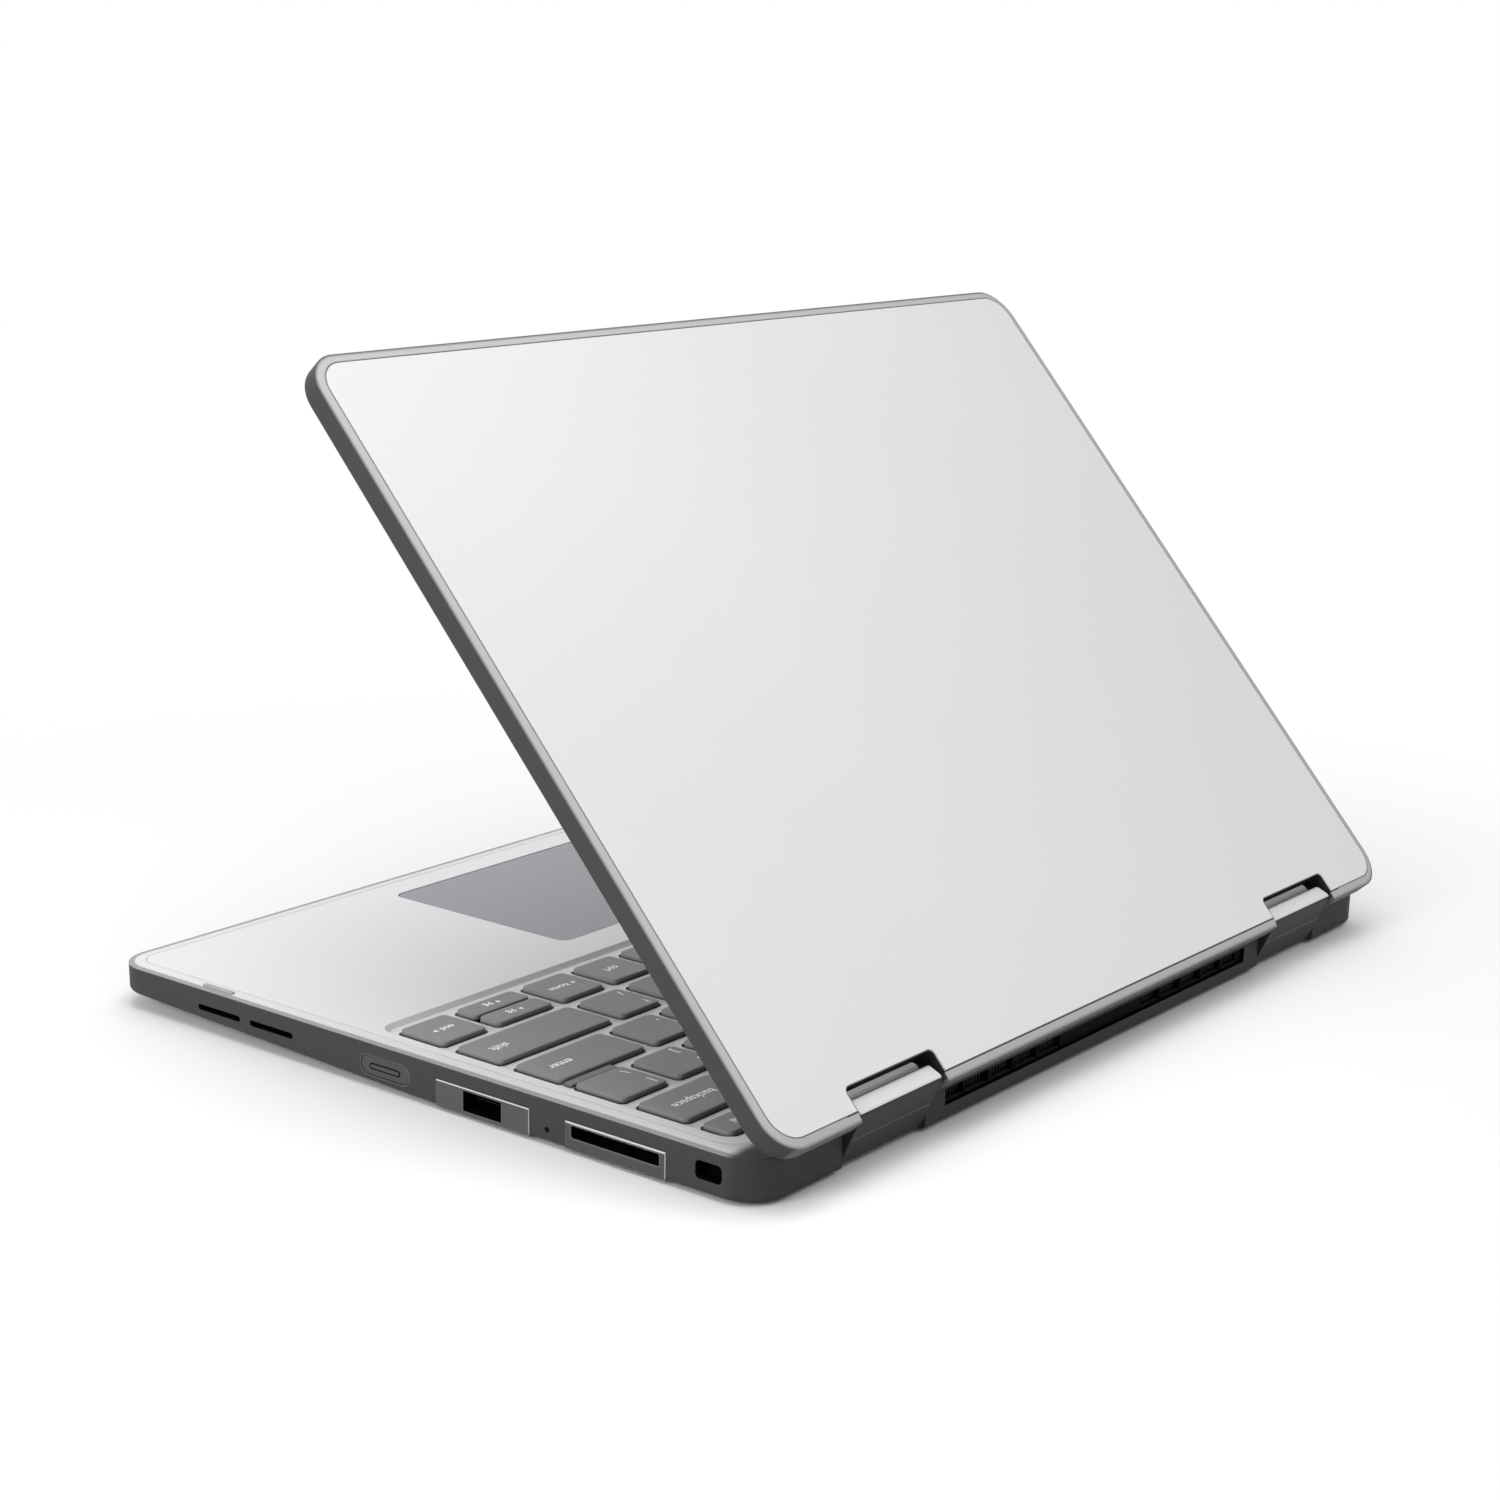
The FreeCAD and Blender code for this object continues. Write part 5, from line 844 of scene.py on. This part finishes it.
# dark dots for the microphone holes beside the camera, on the screen's side of the lid: painted shade in place of
# holes
microphoneSizes = dict(spread=66.0, wide=9.0, columns=4, rows=1, radius=0.35, lift=0.015)
bezelPlane = -farthest("bezel", -lidOut)
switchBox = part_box("camera_switch")
cameraUp = lidUp.dot((switchBox[0] + switchBox[1]) / 2)
holeValues = {"Wide": microphoneSizes["wide"] * mm, "Tall": 0.0, "Columns": microphoneSizes["columns"],
              "Rows": microphoneSizes["rows"], "Radius": microphoneSizes["radius"] * mm,
              "Finish": finishes["holeShade"]}
holeTurn = Matrix((xAxis, -lidUp, -lidOut)).transposed().to_4x4()
for side, label in ((1, "right"), (-1, "left")):
    holes = growMesh(label + "MicrophoneHoleShade", dotField, holeValues, bpy.data.meshes.new("holesBase"))
    spot = xAxis * side * microphoneSizes["spread"] * mm + lidUp * cameraUp
    spot += lidOut * (bezelPlane - microphoneSizes["lift"] * mm)
    holes.transform(Matrix.Translation(spot) @ holeTurn)
    addPiece(label + "MicrophoneHoleShade", holes, "lid", ["holeShade"])
print("rows, recesses and holes grown")


# Light seam lines across the hinge blocks' rear faces: painted highlights along the seam
hingeSeamSizes = dict(tall=0.30, proud=0.03, end=0.3, rearBand=0.02, places=6,
                      profile=((-0.5, 0), (-0.25, 1), (0.25, 1), (0.5, 0)))


def cornerSpots(node):
    return {tuple(round(c, hingeSeamSizes["places"]) for c in v.co): v.co for v in nodes[node].data.vertices}


# the line where the two halves of a block meet on its rear face
def hingeSeam(name, lowerNode, upperNode):
    lower, upper = cornerSpots(lowerNode), cornerSpots(upperNode)
    shared = [place for spot, place in upper.items() if spot in lower]
    rear = max(linkOut.dot(p) for p in shared)
    line = [p for p in shared if linkOut.dot(p) > rear - hingeSeamSizes["rearBand"] * mm]
    end = hingeSeamSizes["end"] * mm
    xs = (min(p.x for p in line) + end, max(p.x for p in line) - end)
    middle = line[0] - xAxis * line[0].x
    work = bmesh.new()
    rows = []
    for rise, out in hingeSeamSizes["profile"]:
        place = middle + xAxis.cross(linkOut) * rise * hingeSeamSizes["tall"] * mm
        place += linkOut * out * hingeSeamSizes["proud"] * mm
        rows.append([work.verts.new(place + xAxis * x) for x in xs])
    for a, b in zip(rows, rows[1:]):
        work.faces.new((a[0], b[0], b[1], a[1]))
    return closeMesh(name, work)


for side in ("right", "left"):
    mesh = hingeSeam(side + "HingeSeam", side + "_hinge_lower_shell", side + "_hinge_upper_shell")
    addPiece(side + "HingeSeam", mesh, "hinge_link", ["trimHighlight"])
print("hinge seams made")


# Floor, light and camera
stageSizes = dict(floor=40.0, floorDrop=0.02, floorShade=0.70, floorRough=0.9, floorSpecular=0.0, world=0.62,
                  whiteFrom=0.19, whiteTo=0.44, whiteRound=(0.07, 0.03, 0))
lampSizes = {
    "skyLamp": dict(kind="SUN", towards=(-0.15, 0.30, 0.94), strength=1.42, spread=70),
    "frontLamp": dict(kind="AREA", place=(-0.55, -0.65, 0.50), aim=(0.05, -0.06, 0.0), strength=1.3, width=0.7),
    "lidLamp": dict(kind="AREA", place=(0.16, 0.04, 0.46), aim=(0.08, -0.01, 0.12), strength=0.70, width=0.3),
    "sideLamp": dict(kind="AREA", place=(0.85, -0.06, 0.36), aim=(0.08, 0.02, 0.01), strength=4.0, width=0.4),
}
cameraView = dict(place=(0.585908, 0.445157, 0.241667), turn=(1.276491, -0.018662, 2.238698), lens=67.00745,
                  sensor=36, rise=0.09728, nearest=0.01)


def addLamp(name, spec):
    data = bpy.data.lights.new(name, spec["kind"])
    data.energy = spec["strength"]
    lamp = newObject(name, data)
    if spec["kind"] == "SUN":
        data.angle = math.radians(spec["spread"])
        direction = -Vector(spec["towards"])
    else:
        data.size = spec["width"]
        lamp.location = spec["place"]
        direction = Vector(spec["aim"]) - Vector(spec["place"])
    lamp.rotation_euler = direction.to_track_quat("-Z", "Y").to_euler()


# one where the eye, a reflection or a glass looks straight at the backdrop
def seenDirectly(tree):
    path = addNode(tree, "ShaderNodeLightPath")
    either = addMath(tree, "MAXIMUM", path.outputs["Is Camera Ray"], path.outputs["Is Glossy Ray"])
    return addMath(tree, "MAXIMUM", either, path.outputs["Is Transmission Ray"])


# a floor that takes the shadow near the part and turns white farther off
def makeFloor():
    spec = stageSizes
    mesh = bpy.data.meshes.new("floor")
    half = spec["floor"] / 2
    corners = [(-half, -half), (half, -half), (half, half), (-half, half)]
    mesh.from_pydata([(x, y, -spec["floorDrop"] * mm) for x, y in corners], [], [(0, 1, 2, 3)])
    floor = newObject("floor", mesh)
    paint = bpy.data.materials.new("floorPaint")
    paint.use_nodes = True
    tree = paint.node_tree
    shader = tree.nodes["Principled BSDF"]
    shader.inputs["Base Color"].default_value = grey(spec["floorShade"])
    shader.inputs["Roughness"].default_value = spec["floorRough"]
    shader.inputs["Specular IOR Level"].default_value = spec["floorSpecular"]
    coords = addNode(tree, "ShaderNodeTexCoord")
    distance = addNode(tree, "ShaderNodeVectorMath", operation="DISTANCE")
    distance.inputs[1].default_value = spec["whiteRound"]
    tree.links.new(coords.outputs["Object"], distance.inputs[0])
    far = rampStep(tree, distance.outputs["Value"], spec["whiteFrom"], spec["whiteTo"])
    white = addNode(tree, "ShaderNodeEmission")
    blend = addNode(tree, "ShaderNodeMixShader")
    tree.links.new(addMath(tree, "MULTIPLY", far, seenDirectly(tree)), blend.inputs[0])
    tree.links.new(shader.outputs[0], blend.inputs[1])
    tree.links.new(white.outputs[0], blend.inputs[2])
    tree.links.new(blend.outputs[0], tree.nodes["Material Output"].inputs["Surface"])
    mesh.materials.append(paint)


def makeWorld():
    world = bpy.data.worlds.new("studio")
    bpy.context.scene.world = world
    world.use_nodes = True
    tree = world.node_tree
    back = tree.nodes["Background"]
    level = addNode(tree, "ShaderNodeMapRange")
    level.inputs["To Min"].default_value = stageSizes["world"]
    level.inputs["To Max"].default_value = 1.0
    tree.links.new(seenDirectly(tree), level.inputs["Value"])
    tree.links.new(level.outputs["Result"], back.inputs["Strength"])
    back.inputs["Color"].default_value = grey(1)


def makeCamera():
    data = bpy.data.cameras.new("view")
    data.sensor_width = cameraView["sensor"]
    data.lens = cameraView["lens"]
    data.shift_y = cameraView["rise"]
    data.clip_start = cameraView["nearest"]
    camera = newObject("view", data)
    camera.location = cameraView["place"]
    camera.rotation_euler = cameraView["turn"]
    bpy.context.scene.camera = camera


makeFloor()
makeWorld()
for name, spec in lampSizes.items():
    addLamp(name, spec)
makeCamera()
bpy.context.scene.view_settings.view_transform = "Standard"
print("stage and camera set")
